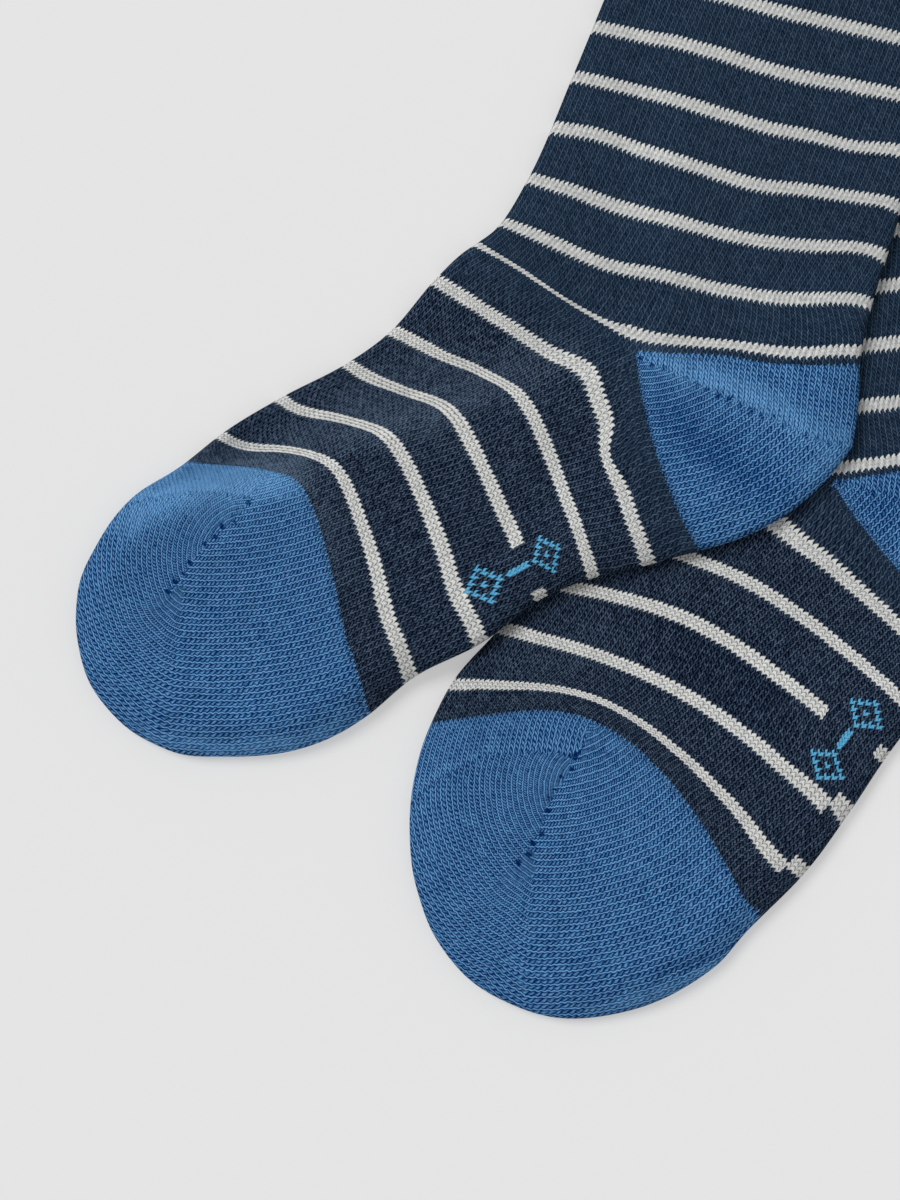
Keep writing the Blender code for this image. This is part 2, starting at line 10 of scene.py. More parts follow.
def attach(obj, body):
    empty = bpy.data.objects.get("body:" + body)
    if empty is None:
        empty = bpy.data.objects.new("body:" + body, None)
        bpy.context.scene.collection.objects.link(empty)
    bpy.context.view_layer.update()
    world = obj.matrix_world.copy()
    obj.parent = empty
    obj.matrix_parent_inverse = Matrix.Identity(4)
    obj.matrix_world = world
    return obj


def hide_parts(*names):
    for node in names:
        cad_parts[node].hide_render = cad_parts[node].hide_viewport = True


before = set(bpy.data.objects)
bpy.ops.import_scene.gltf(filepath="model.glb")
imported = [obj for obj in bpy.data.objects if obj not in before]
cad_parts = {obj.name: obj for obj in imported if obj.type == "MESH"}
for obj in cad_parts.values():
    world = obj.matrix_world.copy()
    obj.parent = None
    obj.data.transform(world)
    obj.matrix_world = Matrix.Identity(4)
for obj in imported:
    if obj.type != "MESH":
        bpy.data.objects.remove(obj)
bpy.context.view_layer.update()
print("frame loaded:", ", ".join(sorted(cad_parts)))

# All shapes are worked out in millimetres on the plan, and become metres when a mesh is made.
mm = 0.001
pairPlace = np.array([-26.087, -53.194])  # the plan's origin, seen from the frame's
fineShares = np.linspace(0.0, 1.0, 201)  # close steps by which a line across a sock is measured

# what both laid socks share
laidShape = {
    "foldRadius": 1.75,
    "shoulder": 8.0,  # the sock reaches its full height this far in from its folded edge
    "riseStart": 0.34,  # share of the way across at which it starts to rise from low to high
    "riseEnd": 0.5,
    "sink": 0.35,  # a sock that is held up by the one below is less puffed
    "leastPuff": 0.2,
    "uneven": 0.22,  # height of the soft waves all over the cloth
    "swell": 0.7,  # the lower, the sooner a crease has its full height along its line
    "stepStart": 4,  # a step comes in over the first quarter of its line
    "stepEnd": 3,  # and goes out over the last third
    "wall": 1.1,  # the cloth itself
    "outlineStep": 1.0,
    "tipReach": 8.0,  # this close to the tip the outline has finer steps
    "tipStep": 0.25,
    "heelPoints": 30,  # points of the outline on each edge of the heel
    "foldAngles": (0, 18, 36, 54, 72),  # columns of the mesh round a folded edge, in degrees
    "leastHalf": 0.3,  # a row whose half is narrower than this has even columns
    "batch": 3000,  # places that are measured at a time
}

# One row for each course that shapes a sock, from the cuff to the heel corner and from there to the
# tip of the toe: its front edge, bend and back or sole edge, how softly it bends, how far it bows
# behind the bend, its height before and behind the bend, and the number of the course.
tableColumns = ("name", "front", "bend", "back", "soft", "bow", "low", "high", "course")

upperLeg = (
    ("cuffTop", (23.5, 140.5), (53.5, 133.0), (88.5, 125.0), 0.6, 0.0, 3.8, 3.8, 186),
    ("cuffBase", (14.0, 117.5), (44.0, 110.0), (79.0, 102.0), 0.6, 0.0, 4.0, 4.0, 152),
    ("upperLeg", (-4.4, 73.7), (24.5, 67.0), (61.5, 58.0), 0.6, 0.0, 4.2, 4.6, 88),
    ("midLeg", (-12.4, 54.2), (18.5, 46.0), (54.0, 38.5), 0.5, 0.0, 4.8, 4.2, 60),
    ("lowLeg", (-20.9, 34.7), (18.0, 22.0), (48.0, 19.5), 0.3, 0.0, 4.6, 5.0, 32),
    ("ankle", (-25.9, 26.4), (15.0, 11.5), (45.0, 10.0), 0.3, 0.0, 5.2, 5.4, 18),
    ("crease", (-31.0, 22.1), (1.0, 3.0), (43.0, 1.0), 0.1, 0.0, 3.6, 6.2, 4),
    ("heel", (-33.1, 20.7), (0.0, 0.0), (42.5, -2.5), 0.0, 0.0, 3.8, 7.0, 0),
)
upperFoot = (
    ("heel", (-33.1, 20.7), (0.0, 0.0), (12.5, -37.0), 0.0, -2.2, 3.8, 7.0, 0),
    ("instep", (-39.0, 15.1), (-7.5, -4.5), (2.0, -40.0), 0.2, -1.3, 3.8, 8.4, -10),
    ("arch", (-47.3, 5.4), (-21.0, -6.0), (-8.5, -42.5), 0.2, 0.0, 3.7, 9.0, -24),
    ("waist", (-56.0, -1.0), (-35.0, -8.5), (-18.5, -46.5), 0.2, 0.0, 3.6, 9.2, -38),
    ("ball", (-68.5, -7.5), (-46.5, -13.0), (-30.0, -55.0), 0.2, 0.0, 3.6, 9.2, -52),
    ("fore", (-80.0, -14.5), (-56.5, -18.5), (-43.5, -62.0), 0.2, 0.0, 3.7, 9.0, -66),
    ("toeLine", (-87.3, -20.3), (-62.9, -20.2), (-52.0, -69.1), 0.25, -0.5, 4.2, 8.8, -77),
    ("toeRoot", (-97.5, -27.0), (-78.5, -29.5), (-65.0, -75.5), 0.4, 0.0, 6.4, 8.6, -92),
    ("toeMid", (-104.0, -35.5), (-91.5, -42.0), (-79.5, -77.0), 0.6, 0.0, 7.4, 8.2, -108),
    ("toeEnd", (-108.0, -45.5), (-101.5, -55.5), (-91.0, -75.5), 0.8, 0.0, 7.2, 7.6, -121),
    ("tipSide", (-108.0, -54.5), (-104.0, -61.0), (-99.5, -70.5), 0.8, 0.0, 5.6, 5.8, -128),
    ("tip", (-105.5, -63.0), (-105.5, -63.0), (-105.5, -63.0), 0.8, 0.0, 3.6, 3.6, -134),
)
lowerLeg = (
    ("cuffTop", (-25.0, 139.0), (6.5, 140.5), (42.5, 146.0), 0.6, 0.0, 3.7, 3.7, 186),
    ("cuffBase", (-26.0, 114.0), (5.0, 115.5), (41.5, 121.0), 0.6, 0.0, 3.8, 3.8, 152),
    ("upperLeg", (-30.0, 66.5), (0.5, 67.5), (39.0, 72.0), 0.6, 0.0, 3.9, 3.9, 88),
    ("midLeg", (-31.5, 35.5), (-3.0, 36.0), (37.5, 41.0), 0.5, 0.0, 3.9, 4.0, 46),
    ("lowLeg", (-32.5, 25.5), (-5.0, 24.5), (38.5, 30.0), 0.4, 0.0, 3.9, 4.3, 32),
    ("ankle", (-34.0, 15.5), (-6.0, 12.5), (40.5, 19.0), 0.4, 0.0, 3.9, 4.6, 18),
    ("crease", (-36.0, 8.0), (-1.5, 2.0), (42.0, 9.0), 0.1, 0.0, 3.8, 5.0, 4),
    ("heel", (-36.5, 6.0), (0.0, 0.0), (42.5, 6.0), 0.0, 0.0, 3.9, 5.2, 0),
)
lowerFoot = (
    ("heel", (-36.5, 6.0), (0.0, 0.0), (26.0, -28.0), 0.0, -2.0, 3.9, 5.2, 0),
    ("instep", (-41.0, 1.0), (-8.4, -8.4), (21.5, -36.5), 0.3, 0.0, 4.0, 5.2, -10),
    ("arch", (-48.5, -8.0), (-18.3, -16.9), (16.0, -45.0), 0.3, 1.0, 4.2, 5.4, -24),
    ("waist", (-57.5, -19.0), (-27.5, -23.5), (9.5, -54.0), 0.4, 0.4, 4.6, 5.6, -38),
    ("ball", (-64.5, -28.0), (-32.5, -35.5), (2.5, -64.5), 0.5, 0.4, 5.2, 6.0, -52),
    ("fore", (-74.0, -39.0), (-43.5, -37.5), (-7.0, -77.0), 0.4, 1.2, 5.4, 6.2, -66),
    ("toeLine", (-78.0, -46.9), (-46.4, -39.2), (-15.8, -85.7), 0.4, 2.9, 6.2, 6.8, -77),
    ("toeRoot", (-81.0, -56.5), (-57.0, -53.0), (-23.5, -94.0), 0.5, 0.0, 6.8, 7.1, -92),
    ("toeMid", (-82.0, -68.0), (-66.5, -68.0), (-37.5, -101.5), 0.6, 0.0, 6.9, 7.1, -108),
    ("toeEnd", (-80.5, -79.0), (-71.5, -81.5), (-53.0, -103.5), 0.8, 0.0, 6.4, 6.6, -121),
    ("tipSide", (-77.0, -88.0), (-72.0, -90.0), (-62.0, -101.0), 0.8, 0.0, 5.6, 5.8, -128),
    ("tip", (-70.5, -96.0), (-70.5, -96.0), (-70.5, -96.0), 0.8, 0.0, 3.6, 3.6, -134),
)


def smoothStep(x):
    x = np.clip(x, 0.0, 1.0)
    return x * x * (3 - 2 * x)


def bell(away, halfWidth):
    return np.exp(-((away / halfWidth) ** 2))


def runAlong(line):
    # how far along a line each of its points is
    return np.concatenate([[0.0], np.cumsum(np.linalg.norm(np.diff(line, axis=0), axis=1))])


def spline(knots, values, at):
    slopes = np.gradient(values, knots, axis=0)
    left = np.clip(np.searchsorted(knots, at, side="right") - 1, 0, len(knots) - 2)
    width = (knots[left + 1] - knots[left])[..., None]
    x = (at - knots[left])[..., None] / width
    start, end = values[left], values[left + 1]
    leave, arrive = slopes[left] * width, slopes[left + 1] * width
    return (
        (2 * x**3 - 3 * x**2 + 1) * start
        + (x**3 - 2 * x**2 + x) * leave
        + (3 * x**2 - 2 * x**3) * end
        + (x**3 - x**2) * arrive
    )


def column(rows, name):
    place = tableColumns.index(name)
    return np.array([row[place] for row in rows], float).reshape(len(rows), -1)


def rowKnots(rows, start):
    # how far along the sock each row lies, as the mean of its front edge, bend and back edge
    return start + np.mean([runAlong(column(rows, name)) for name in ("front", "bend", "back")], axis=0)


def bowed(start, end, share, bow):
    # a line that bows out to its left, by the bow at its middle
    along = end - start
    side = np.stack([-along[..., 1], along[..., 0]], axis=-1)
    side /= np.maximum(np.linalg.norm(side, axis=-1, keepdims=True), 1e-9)
    return start + along * share + side * bow * 4 * share * (1 - share)


def towards(line, places):
    # from the nearest point of each stretch of a line to each place, and that point's share of the stretch
    start, along = line[:-1], np.diff(line, axis=0)
    share = np.einsum("pnk,nk->pn", places[:, None] - start, along) / (along**2).sum(axis=1)
    share = np.clip(share, 0, 1)
    return places[:, None] - start - share[..., None] * along, share


def alongLine(line, places):
    # the distance of each place to the left of a line of points, and how far along the line it is
    line = np.array(line, float)
    off, share = towards(line, places)
    gaps = np.linalg.norm(off, axis=2)
    nearest = gaps.argmin(axis=1)
    picked = (np.arange(len(places)), nearest)
    off, step = off[picked], np.diff(line, axis=0)[nearest]
    left = np.where(step[:, 0] * off[:, 1] - step[:, 1] * off[:, 0] < 0, -1.0, 1.0)
    run = runAlong(line)
    return gaps[picked] * left, run[nearest] + share[picked] * np.diff(run)[nearest]


def besideLine(line, places):
    # the same distance, and the share of the way along the line
    away, run = alongLine(line, places)
    return away, run / runAlong(np.array(line))[-1]


class LaidSock:
    # s is a distance along the sock from the top of the cuff, and t the share across it, from 0 at
    # the front edge to 1 at the back or sole edge. Leg and foot share their front halves.
    def __init__(self, name, sizes, baseHeight):
        self.name = name
        self.sizes = sizes
        self.corner = np.array(sizes["corner"])
        self.baseHeight = baseHeight
        leg, foot = sizes["leg"], sizes["foot"]
        legKnots = rowKnots(leg, 0.0)
        footKnots = rowKnots(foot, legKnots[-1])
        self.marks = dict(zip([row[0] for row in leg + foot], [*legKnots, *footKnots]))
        # one more row past the tip, the mirror of the row before it, rounds the tip off
        pastTip = 2 * footKnots[-1] - footKnots[-2]
        before, tip = foot[-2], foot[-1]
        beyond = ("beyond", before[3], tip[2], before[1], *tip[4:])
        self.knots = {
            "shared": np.array([*legKnots, *footKnots[1:], pastTip]),
            "leg": legKnots,
            "foot": np.array([*footKnots, pastTip]),
        }
        rows = {"shared": leg + foot[1:] + (beyond,), "leg": leg, "foot": foot + (beyond,)}
        self.values = {
            part: np.hstack([column(rows[part], name) for name in names])
            for part, names in (
                ("shared", ("front", "bend", "soft", "low", "course")),
                ("leg", ("back", "bow", "high")),
                ("foot", ("back", "bow", "high")),
            )
        }
        self.outline = self.traceOutline()

    def inFrame(self, points):
        return (points + [*(self.corner + pairPlace), 0.0]) * mm

    def rowValues(self, part, s):
        shared = spline(self.knots["shared"], self.values["shared"], s)
        own = spline(self.knots[part], self.values[part], s)
        return {
            "front": shared[..., 0:2],
            "bend": shared[..., 2:4],
            "soft": shared[..., 4:5],
            "low": shared[..., 5],
            "course": shared[..., 6],
            "back": own[..., 0:2],
            "bow": own[..., 2:3],
            "high": own[..., 3],
        }

    def plan(self, part, s, t):
        row = self.rowValues(part, s)
        across = (2 * t - 1)[..., None]
        bent = np.sqrt(across**2 + row["soft"] ** 2)
        rounding = 1 - np.sqrt(1 + row["soft"] ** 2)
        toFront = (-across + bent + rounding) / 2
        toBack = (across + bent + rounding) / 2
        behind = bowed(row["bend"], row["back"], toBack, row["bow"])
        return behind + (row["front"] - row["bend"]) * toFront

    def thickness(self, part, s, t):
        row = self.rowValues(part, s)
        start, end = laidShape["riseStart"], laidShape["riseEnd"]
        return row["low"] + (row["high"] - row["low"]) * smoothStep((t - start) / (end - start))

    def heelPlan(self, back, down):
        # back runs from the heel corner to the back of the leg, and down from it to the sole
        heel = self.sizes["heel"]
        mark = np.full_like(back, self.marks["heel"])
        ends = np.zeros_like(back)
        top = self.plan("leg", mark, 0.5 + back / 2)
        front = self.plan("foot", mark, 0.5 + down / 2)
        corner = self.plan("leg", mark, ends + 0.5)
        backEnd = self.plan("leg", mark, ends + 1.0)
        soleEnd = self.plan("foot", mark, ends + 1.0)
        point = np.broadcast_to(np.array(heel["point"]), corner.shape)
        u, v = back[..., None], down[..., None]
        backEdge = bowed(backEnd, point, v, heel["backBow"])
        soleEdge = bowed(soleEnd, point, u, -heel["soleBow"])
        straight = (1 - u) * ((1 - v) * corner + v * soleEnd) + u * ((1 - v) * backEnd + v * point)
        return (1 - v) * top + v * soleEdge + (1 - u) * front + u * backEdge - straight

    def traceOutline(self):
        # from the front of the cuff round the toe and the heel to the back of the cuff
        cuff, heel, tip = (self.marks[name] for name in ("cuffTop", "heel", "tip"))
        step, nearTip = laidShape["outlineStep"], tip - laidShape["tipReach"]
        leg = np.arange(cuff, heel, step)
        foot = np.append(np.arange(heel, nearTip, step), np.arange(nearTip, tip, laidShape["tipStep"]))
        edge = np.linspace(0.0, 1.0, laidShape["heelPoints"])
        one = np.ones_like
        return np.concatenate(
            [
                self.plan("leg", leg, 0 * leg),
                self.plan("foot", foot, 0 * foot),
                self.plan("foot", np.append(foot, tip)[::-1], np.ones(len(foot) + 1)),
                self.heelPlan(edge, one(edge))[1:],
                self.heelPlan(one(edge), edge[::-1])[1:],
                self.plan("leg", leg[::-1], one(leg)),
            ]
        )

    def toEdge(self, places):
        # the distance of each place from the outline
        def least(some):
            return np.linalg.norm(towards(self.outline, some)[0], axis=2).min(axis=1)

        batches = np.array_split(places, 1 + len(places) // laidShape["batch"])
        return np.concatenate([least(some) for some in batches])


# The two socks, in millimetres from each one's heel corner. gusset and seam are the lines of the toe
# pocket, and fan the way its wales turn round the gusset's end. pulls are spots where the courses are
# drawn out of line (place, radius, courses), and gathers are lines that they crowd to. rubbed gives lines
# of painted highlight, where a ridge faces the light, and of painted shade, in troughs and under the other
# sock, along which the stitches are also laid smooth; steps gives the edges where the cloth drops, and
# creases soft troughs and ridges, each as a line, its half width and its height.
socks = {
    "lower_sock": {
        "corner": (74.2, 22.7),
        "leg": lowerLeg,
        "foot": lowerFoot,
        "heel": {
            "point": (43.5, -9.5),
            "soleBow": 3.0,
            "backBow": 1.5,
            "dome": 1.2,
            "edge": -1.9,
            "nether": (-20.8, 22.0),
            "above": 82.0,
        },
        "heelGusset": ((0.0, 0.0), (21.0, -5.5), (36.0, -9.6), (43.5, -9.5)),
        "gusset": (
            (-61.2, -73.6), (-59.2, -71.1), (-57.1, -67.8), (-55.9, -63.7),
            (-54.2, -59.2), (-51.8, -55.9), (-50.0, -52.7),
        ),
        "seam": (
            (-84.0, -64.5), (-81.0, -61.3), (-77.6, -58.0), (-72.3, -55.1),
            (-67.4, -52.5), (-62.9, -51.9), (-55.1, -51.9), (-50.0, -52.7),
        ),
        "fan": {
            "front": ((-46.3, -58.8), 27.0, 1.04),
            "middle": ((-57.9, -69.8), 20.5, 1.08),
            "sole": ((-55.7, -31.3), 48.0, 1.26),
        },
        "wales": {
            "pitch": (
                ("cuffBase", 0.95, 0.98),
                ("ankle", 0.95, 0.98),
                ("heel", 0.95, 1.22),
                ("arch", 0.92, 1.18),
            ),
            "drift": ((0, 0.0), (-10, -3.0), (-54, -3.0), (-66, -1.5), (-140, -1.5)),
        },
        "mark": {"wale": 30, "row": -39, "stripeGap": (25.7, 35.8)},
        "jog": {"wale": 34.6, "atToe": 36.9},
        "pulls": (
            ((5.0, -52.0), 7.0, 1.2),
            ((-42.0, -62.0), 8.0, -1.2),
            ((-6.0, -68.0), 7.0, 0.9),
            ((-13.0, -82.0), 3.0, -2.4),
            ((-10.0, -57.0), 8.0, 0.7),
            ((1.5, -66.0), 4.5, 2.2),
            ((-15.0, -71.0), 6.0, 0.7),
            ((-52.0, -40.0), 8.0, -0.5),
            ((-12.5, -7.0), 4.5, -1.1),
        ),
        "gathers": (),
        # painted shadow of the upper sock's heel, painted highlight and shade beside the foot's dips, and
        # painted shade in the toe's crease with a painted highlight beside it
        "paintedLightAndNap": (
            (((4.0, -2.0), (9.0, -5.5), (13.0, -10.0)), 4.5, -0.9),
            (((-70.0, -36.0), (-50.0, -34.0), (-30.0, -22.0)), 5.0, 0.35),
            (((-44.0, -24.0), (-30.0, -31.0), (-16.0, -40.0), (-4.0, -48.0)), 6.5, -0.6),
            (((-38.0, -95.0), (-26.4, -92.7), (-17.2, -87.8), (-11.0, -83.0)), 0.8, -1.8),
            (((-50.0, -102.0), (-36.0, -99.3), (-27.0, -94.8), (-19.5, -89.3), (-12.0, -82.0)), 1.6, 1.3),
        ),
        "steps": (),
        "creases": (
            (((-46.0, -23.5), (-28.0, -32.5), (-13.0, -45.0)), 4.5, -1.1),
            (((-62.0, -30.0), (-48.0, -37.0), (-38.0, -47.0)), 3.0, 0.5),
            (((-36.0, -73.0), (-34.5, -81.0), (-36.5, -92.0)), 1.6, -0.3),
            (((-47.0, -82.0), (-45.5, -91.0)), 1.4, -0.25),
            (((-38.0, -94.5), (-26.4, -92.2), (-17.4, -87.3), (-11.0, -82.5)), 0.9, -0.9),
        ),
        "underCreases": (
            (((-55.0, -50.0), (-40.0, -60.0), (-20.0, -62.0)), 4.0, 0.9),
            (((-25.0, 20.0), (-5.0, 30.0), (20.0, 26.0)), 3.5, 0.7),
            (((-20.0, 70.0), (10.0, 62.0)), 3.0, 0.6),
            (((5.0, 88.0), (30.0, 95.0)), 3.5, 0.5),
        ),
    },
    "upper_sock": {
        "corner": (36.0, 46.7),
        "leg": upperLeg,
        "foot": upperFoot,
        "heel": {
            "point": (41.0, -17.5),
            "soleBow": 3.5,
            "backBow": 0.5,
            "dome": 1.0,
            "edge": -1.1,
            "nether": (0.5, 15.4),
            "above": 84.0,
        },
        "heelGusset": ((0.0, -0.5), (23.8, -11.3), (35.0, -16.5), (41.0, -17.3)),
        "gusset": (
            (-92.3, -46.7), (-88.3, -43.4), (-84.5, -37.9), (-80.6, -33.6),
            (-78.5, -32.3), (-76.4, -30.2), (-74.5, -27.5),
        ),
        "seam": (
            (-98.5, -28.5), (-94.0, -27.5), (-90.2, -26.9), (-85.6, -26.1),
            (-80.2, -26.3), (-74.5, -27.5),
        ),
        "fan": {
            "front": ((-74.5, -38.2), 23.5, 0.98),
            "middle": ((-87.0, -43.8), 17.0, 1.06),
            "sole": ((-81.2, 15.8), 68.0, 1.21),
        },
        "wales": {
            "pitch": (
                ("cuffBase", 0.94, 0.98),
                ("ankle", 0.94, 0.99),
                ("heel", 0.96, 1.25),
                ("arch", 0.86, 1.08),
                ("toeLine", 0.88, 1.17),
            ),
            "drift": ((0, 0.0), (-24, -2.0), (-38, -4.4), (-77, -5.3), (-140, -5.3)),
        },
        "mark": {"wale": 23, "row": -40, "stripeGap": (19.9, 28.3)},
        "jog": {"wale": 33.0, "atToe": 33.0},
        "pulls": (
            ((-7.2, 18.3), 9.0, 2.0),
            ((-6.5, 42.5), 8.5, -1.5),
            ((27.5, 49.5), 13.0, 1.6),
            ((21.7, 33.5), 7.5, 1.0),
            ((40.0, 11.5), 7.5, -1.0),
            ((29.0, -0.2), 8.5, 1.5),
            ((41.0, 42.0), 5.5, 1.2),
            ((41.0, 21.0), 5.5, -0.8),
            ((51.0, 27.5), 2.5, 1.5),
            ((48.5, 18.0), 2.5, 2.0),
            ((46.0, 9.0), 2.5, 1.5),
            ((-57.0, -0.8), 3.5, -0.9),
            ((-69.5, -7.0), 3.5, -1.2),
            ((-81.5, -14.0), 3.5, -0.8),
            ((-75.0, -17.5), 6.5, 2.9),
            ((-64.5, -9.5), 6.5, 2.3),
            ((-10.5, -2.5), 5.0, -1.9),
            ((-6.0, -12.0), 4.5, -0.9),
            ((-5.0, -21.0), 5.0, 0.6),
            ((-3.6, -18.4), 3.2, 1.8),
            ((-51.0, -50.0), 7.0, 1.0),
            ((-36.0, -45.0), 7.0, 0.9),
            ((-44.0, -4.0), 6.0, 1.5),
            ((-53.5, -7.5), 6.5, 1.8),
            ((-36.0, 1.0), 4.5, 0.7),
            ((-20.0, 15.5), 6.0, 0.8),
        ),
        "gathers": (
            (((-31.5, 22.3), (-21.5, 16.9), (-14.4, 11.6), (-3.0, 4.6)), 1.0, 3.4),
            (
                ((-9.0, 7.0), (-2.0, 4.3), (6.0, 3.0), (16.0, 2.0), (30.0, 1.2), (43.0, 0.4), (52.0, 0.2)),
                1.3,
                0.85,
            ),
        ),
        # painted highlights where the foot's rising band, the toe's front, the heel's gusset ridge and tip
        # and other slopes face the light, and painted shade in the heel's trough
        "paintedLightAndNap": (
            (
                ((-86.0, -20.0), (-70.6, -21.5), (-59.0, -13.5), (-40.0, -11.0), (-22.0, -2.0), (-6.5, 1.5)),
                5.5,
                1.0,
            ),
            (((-102.0, -34.5), (-94.0, -28.0), (-84.0, -24.0), (-72.0, -23.0), (-62.0, -23.0)), 4.2, 2.7),
            (((-2.5, 2.5), (4.0, -0.5), (14.6, -5.0), (24.0, -9.0), (33.0, -14.2), (42.0, -17.0)), 2.8, 1.7),
            (((0.5, -7.0), (11.0, -16.0), (21.0, -23.0), (33.0, -29.0)), 4.2, -1.35),
            (((28.0, -27.0), (36.0, -20.5), (43.0, -13.0)), 4.0, 0.8),
            (((-60.0, -10.0), (-50.0, -4.5), (-41.8, -2.0), (-28.0, 2.5)), 4.0, 0.6),
            (((-66.0, -22.0), (-61.0, -26.0), (-58.5, -34.0), (-56.0, -44.0)), 2.6, 0.7),
            (
                (
                    (-100.0, -68.0), (-93.0, -73.0), (-78.3, -75.6),
                    (-66.0, -74.2), (-58.0, -71.8), (-48.0, -66.0),
                ),
                1.8,
                1.3,
            ),
        ),
        "steps": (
            (
                (
                    (-64.5, -20.3), (-78.3, -23.2), (-88.9, -25.3),
                    (-95.6, -29.9), (-101.0, -37.6), (-103.3, -45.0),
                ),
                1.8,
                -3.0,
            ),
        ),
        "creases": (
            (((1.0, -1.0), (14.6, -5.6), (24.0, -9.4), (33.0, -14.4), (40.0, -17.0)), 2.4, 1.1),
            (((2.5, -7.0), (13.0, -16.0), (22.0, -22.0), (29.0, -25.5)), 3.4, -1.7),
            (((-7.2, -15.9), (-9.5, -28.0), (-9.1, -39.0)), 3.0, -0.45),
            (((-72.2, -38.0), (-73.3, -52.0), (-73.0, -64.0)), 1.6, -0.35),
        ),
        "underCreases": (
            (((-50.0, -30.0), (-30.0, -26.0), (-15.0, -30.0)), 3.5, 0.8),
            (((-5.0, 45.0), (15.0, 38.0), (35.0, 40.0)), 3.0, 0.7),
            (((5.0, 85.0), (35.0, 78.0)), 3.0, 0.6),
        ),
    },
}


def swell(share):
    # a crease or gather rises softly at the start of its line and sinks again at the end
    return np.sin(math.pi * np.clip(share, 0, 1)) ** laidShape["swell"]


def creaseHeight(creases, places):
    height = np.zeros(len(places))
    for line, halfWidth, rise in creases:
        away, share = besideLine(line, places)
        height += rise * swell(share) * bell(away, halfWidth)
    return height


def stepHeight(steps, places):
    # the cloth drops on the right-hand side of each line
    height = np.zeros(len(places))
    for line, halfWidth, drop in steps:
        away, share = besideLine(line, places)
        taper = smoothStep(share * laidShape["stepStart"]) * smoothStep((1 - share) * laidShape["stepEnd"])
        height += drop * taper * smoothStep(0.5 - away / (2 * halfWidth))
    return height


softWaves = (  # radians a millimetre in x and y, and the phase
    (0.44588, 0.27004, 0.3),
    (-0.32656, 0.52124, 1.9),
    (0.74104, -0.38308, 4.1),
    (0.21352, 0.79756, 2.6),
    (-0.93572, -0.57776, 0.8),
)


def softUneven(places):
    x, y = places.T
    return laidShape["uneven"] * sum(np.sin(a * x + b * y + c) for a, b, c in softWaves) / len(softWaves)


def skin(sock, plan, folded, thickness, relief=0.0, groove=0.0):
    # the lower and the upper layer of the outside, over a grid of places seen from above
    shape = plan.shape[:2]
    places = plan.reshape(-1, 2)
    distance = np.where(folded.reshape(-1), 0.0, sock.toEdge(places))
    radius = laidShape["foldRadius"]
    base = sock.baseHeight(places + sock.corner)
    bent = np.clip(distance / radius, 0, 1)
    fold = radius * np.sqrt(1 - (1 - bent) ** 2)
    crown = np.sin(math.pi / 2 * np.clip(distance / laidShape["shoulder"], 0, 1))
    puff = thickness.reshape(-1) - 2 * radius
    lift = np.maximum(puff - laidShape["sink"] * base, laidShape["leastPuff"] * puff)
    cut = np.broadcast_to(groove, shape).reshape(-1) * fold / radius
    marked = creaseHeight(sock.sizes["creases"], places) + stepHeight(sock.sizes["steps"], places)
    marked += softUneven(places)
    under = np.maximum(creaseHeight(sock.sizes["underCreases"], places), 0.0)
    relief = np.broadcast_to(relief, shape).reshape(-1)
    low = np.column_stack([places, base + radius - fold + cut + under * crown])
    high = np.column_stack([places, base + radius + fold - cut + (lift + marked + relief) * crown])
    return [layer.reshape(*shape, 3) for layer in (low, high)]


def foldedAt(shape, rows=(), columns=()):
    # which places of a grid lie on a folded edge
    folded = np.zeros(shape, bool)
    folded[list(rows)] = True
    folded[:, list(columns)] = True
    return folded


def cornersOf(values):
    # the values at the four corners of each face of a grid
    rows = [np.stack([row[:, :-1], row[:, 1:]], axis=2) for row in (values[:-1], values[1:])]
    return np.stack(rows, axis=2)


def faceCentres(values):
    return cornersOf(values).mean(axis=(2, 3))


def addLayer(bm, points, napAndPaintedLight, maps):
    # one grid, with each vertex moved to its place and each face given its places in the UV maps
    # each vertex also keeps its amount of painted highlight (above nought) or painted shade (below), which
    # also lays its stitches smooth
    napAndPaintedLightLayer = bm.verts.layers.float.get("napAndPaintedLight") or bm.verts.layers.float.new("napAndPaintedLight")
    uv = bm.loops.layers.uv
    mapLayers = [(uv.get(name) or uv.new(name)) for name in maps]
    rows, columns = points.shape[:2]
    first = len(bm.faces)
    made = bmesh.ops.create_grid(bm, x_segments=columns - 1, y_segments=rows - 1, size=1.0)["verts"]
    spots = {}
    for vertex in made:
        i = round((vertex.co.y + 1) / 2 * (rows - 1))
        j = round((vertex.co.x + 1) / 2 * (columns - 1))
        spots[vertex] = (i, j)
    for vertex, (i, j) in spots.items():
        vertex.co = points[i, j]
        vertex[napAndPaintedLightLayer] = napAndPaintedLight[i, j]
    bm.faces.ensure_lookup_table()
    for face in bm.faces[first:]:
        corners = [spots[loop.vert] for loop in face.loops]
        i0, j0 = min(c[0] for c in corners), min(c[1] for c in corners)
        for loop, (i, j) in zip(face.loops, corners):
            for layer, values in zip(mapLayers, maps.values()):
                loop[layer].uv = values[i0, j0, i - i0, j - j0]


def addCloth(bm, sock, plan, layers, mapsOfLayers):
    # a stretch of a sock: its lower and its upper layer, each with its own UV maps
    # how much painted highlight or painted shade each place gets, which also smooths its stitches
    napAndPaintedLight = creaseHeight(sock.sizes["paintedLightAndNap"], plan.reshape(-1, 2)).reshape(plan.shape[:2])
    for points, maps in zip(layers, mapsOfLayers):
        addLayer(bm, sock.inFrame(points), napAndPaintedLight, maps)


def addObject(name, data):
    made = bpy.data.objects.new(name, data)
    bpy.context.scene.collection.objects.link(made)
    return made


def meshOf(name, bm, material):
    mesh = bpy.data.meshes.new(name)
    bm.to_mesh(mesh)
    bm.free()
    mesh.materials.append(material)
    return mesh


def newMaterial(name):
    material = bpy.data.materials.new(name)
    material.use_nodes = True
    return material, material.node_tree.nodes["Principled BSDF"]


def setSockets(node, values):
    for name, value in values.items():
        node.inputs[name].default_value = value


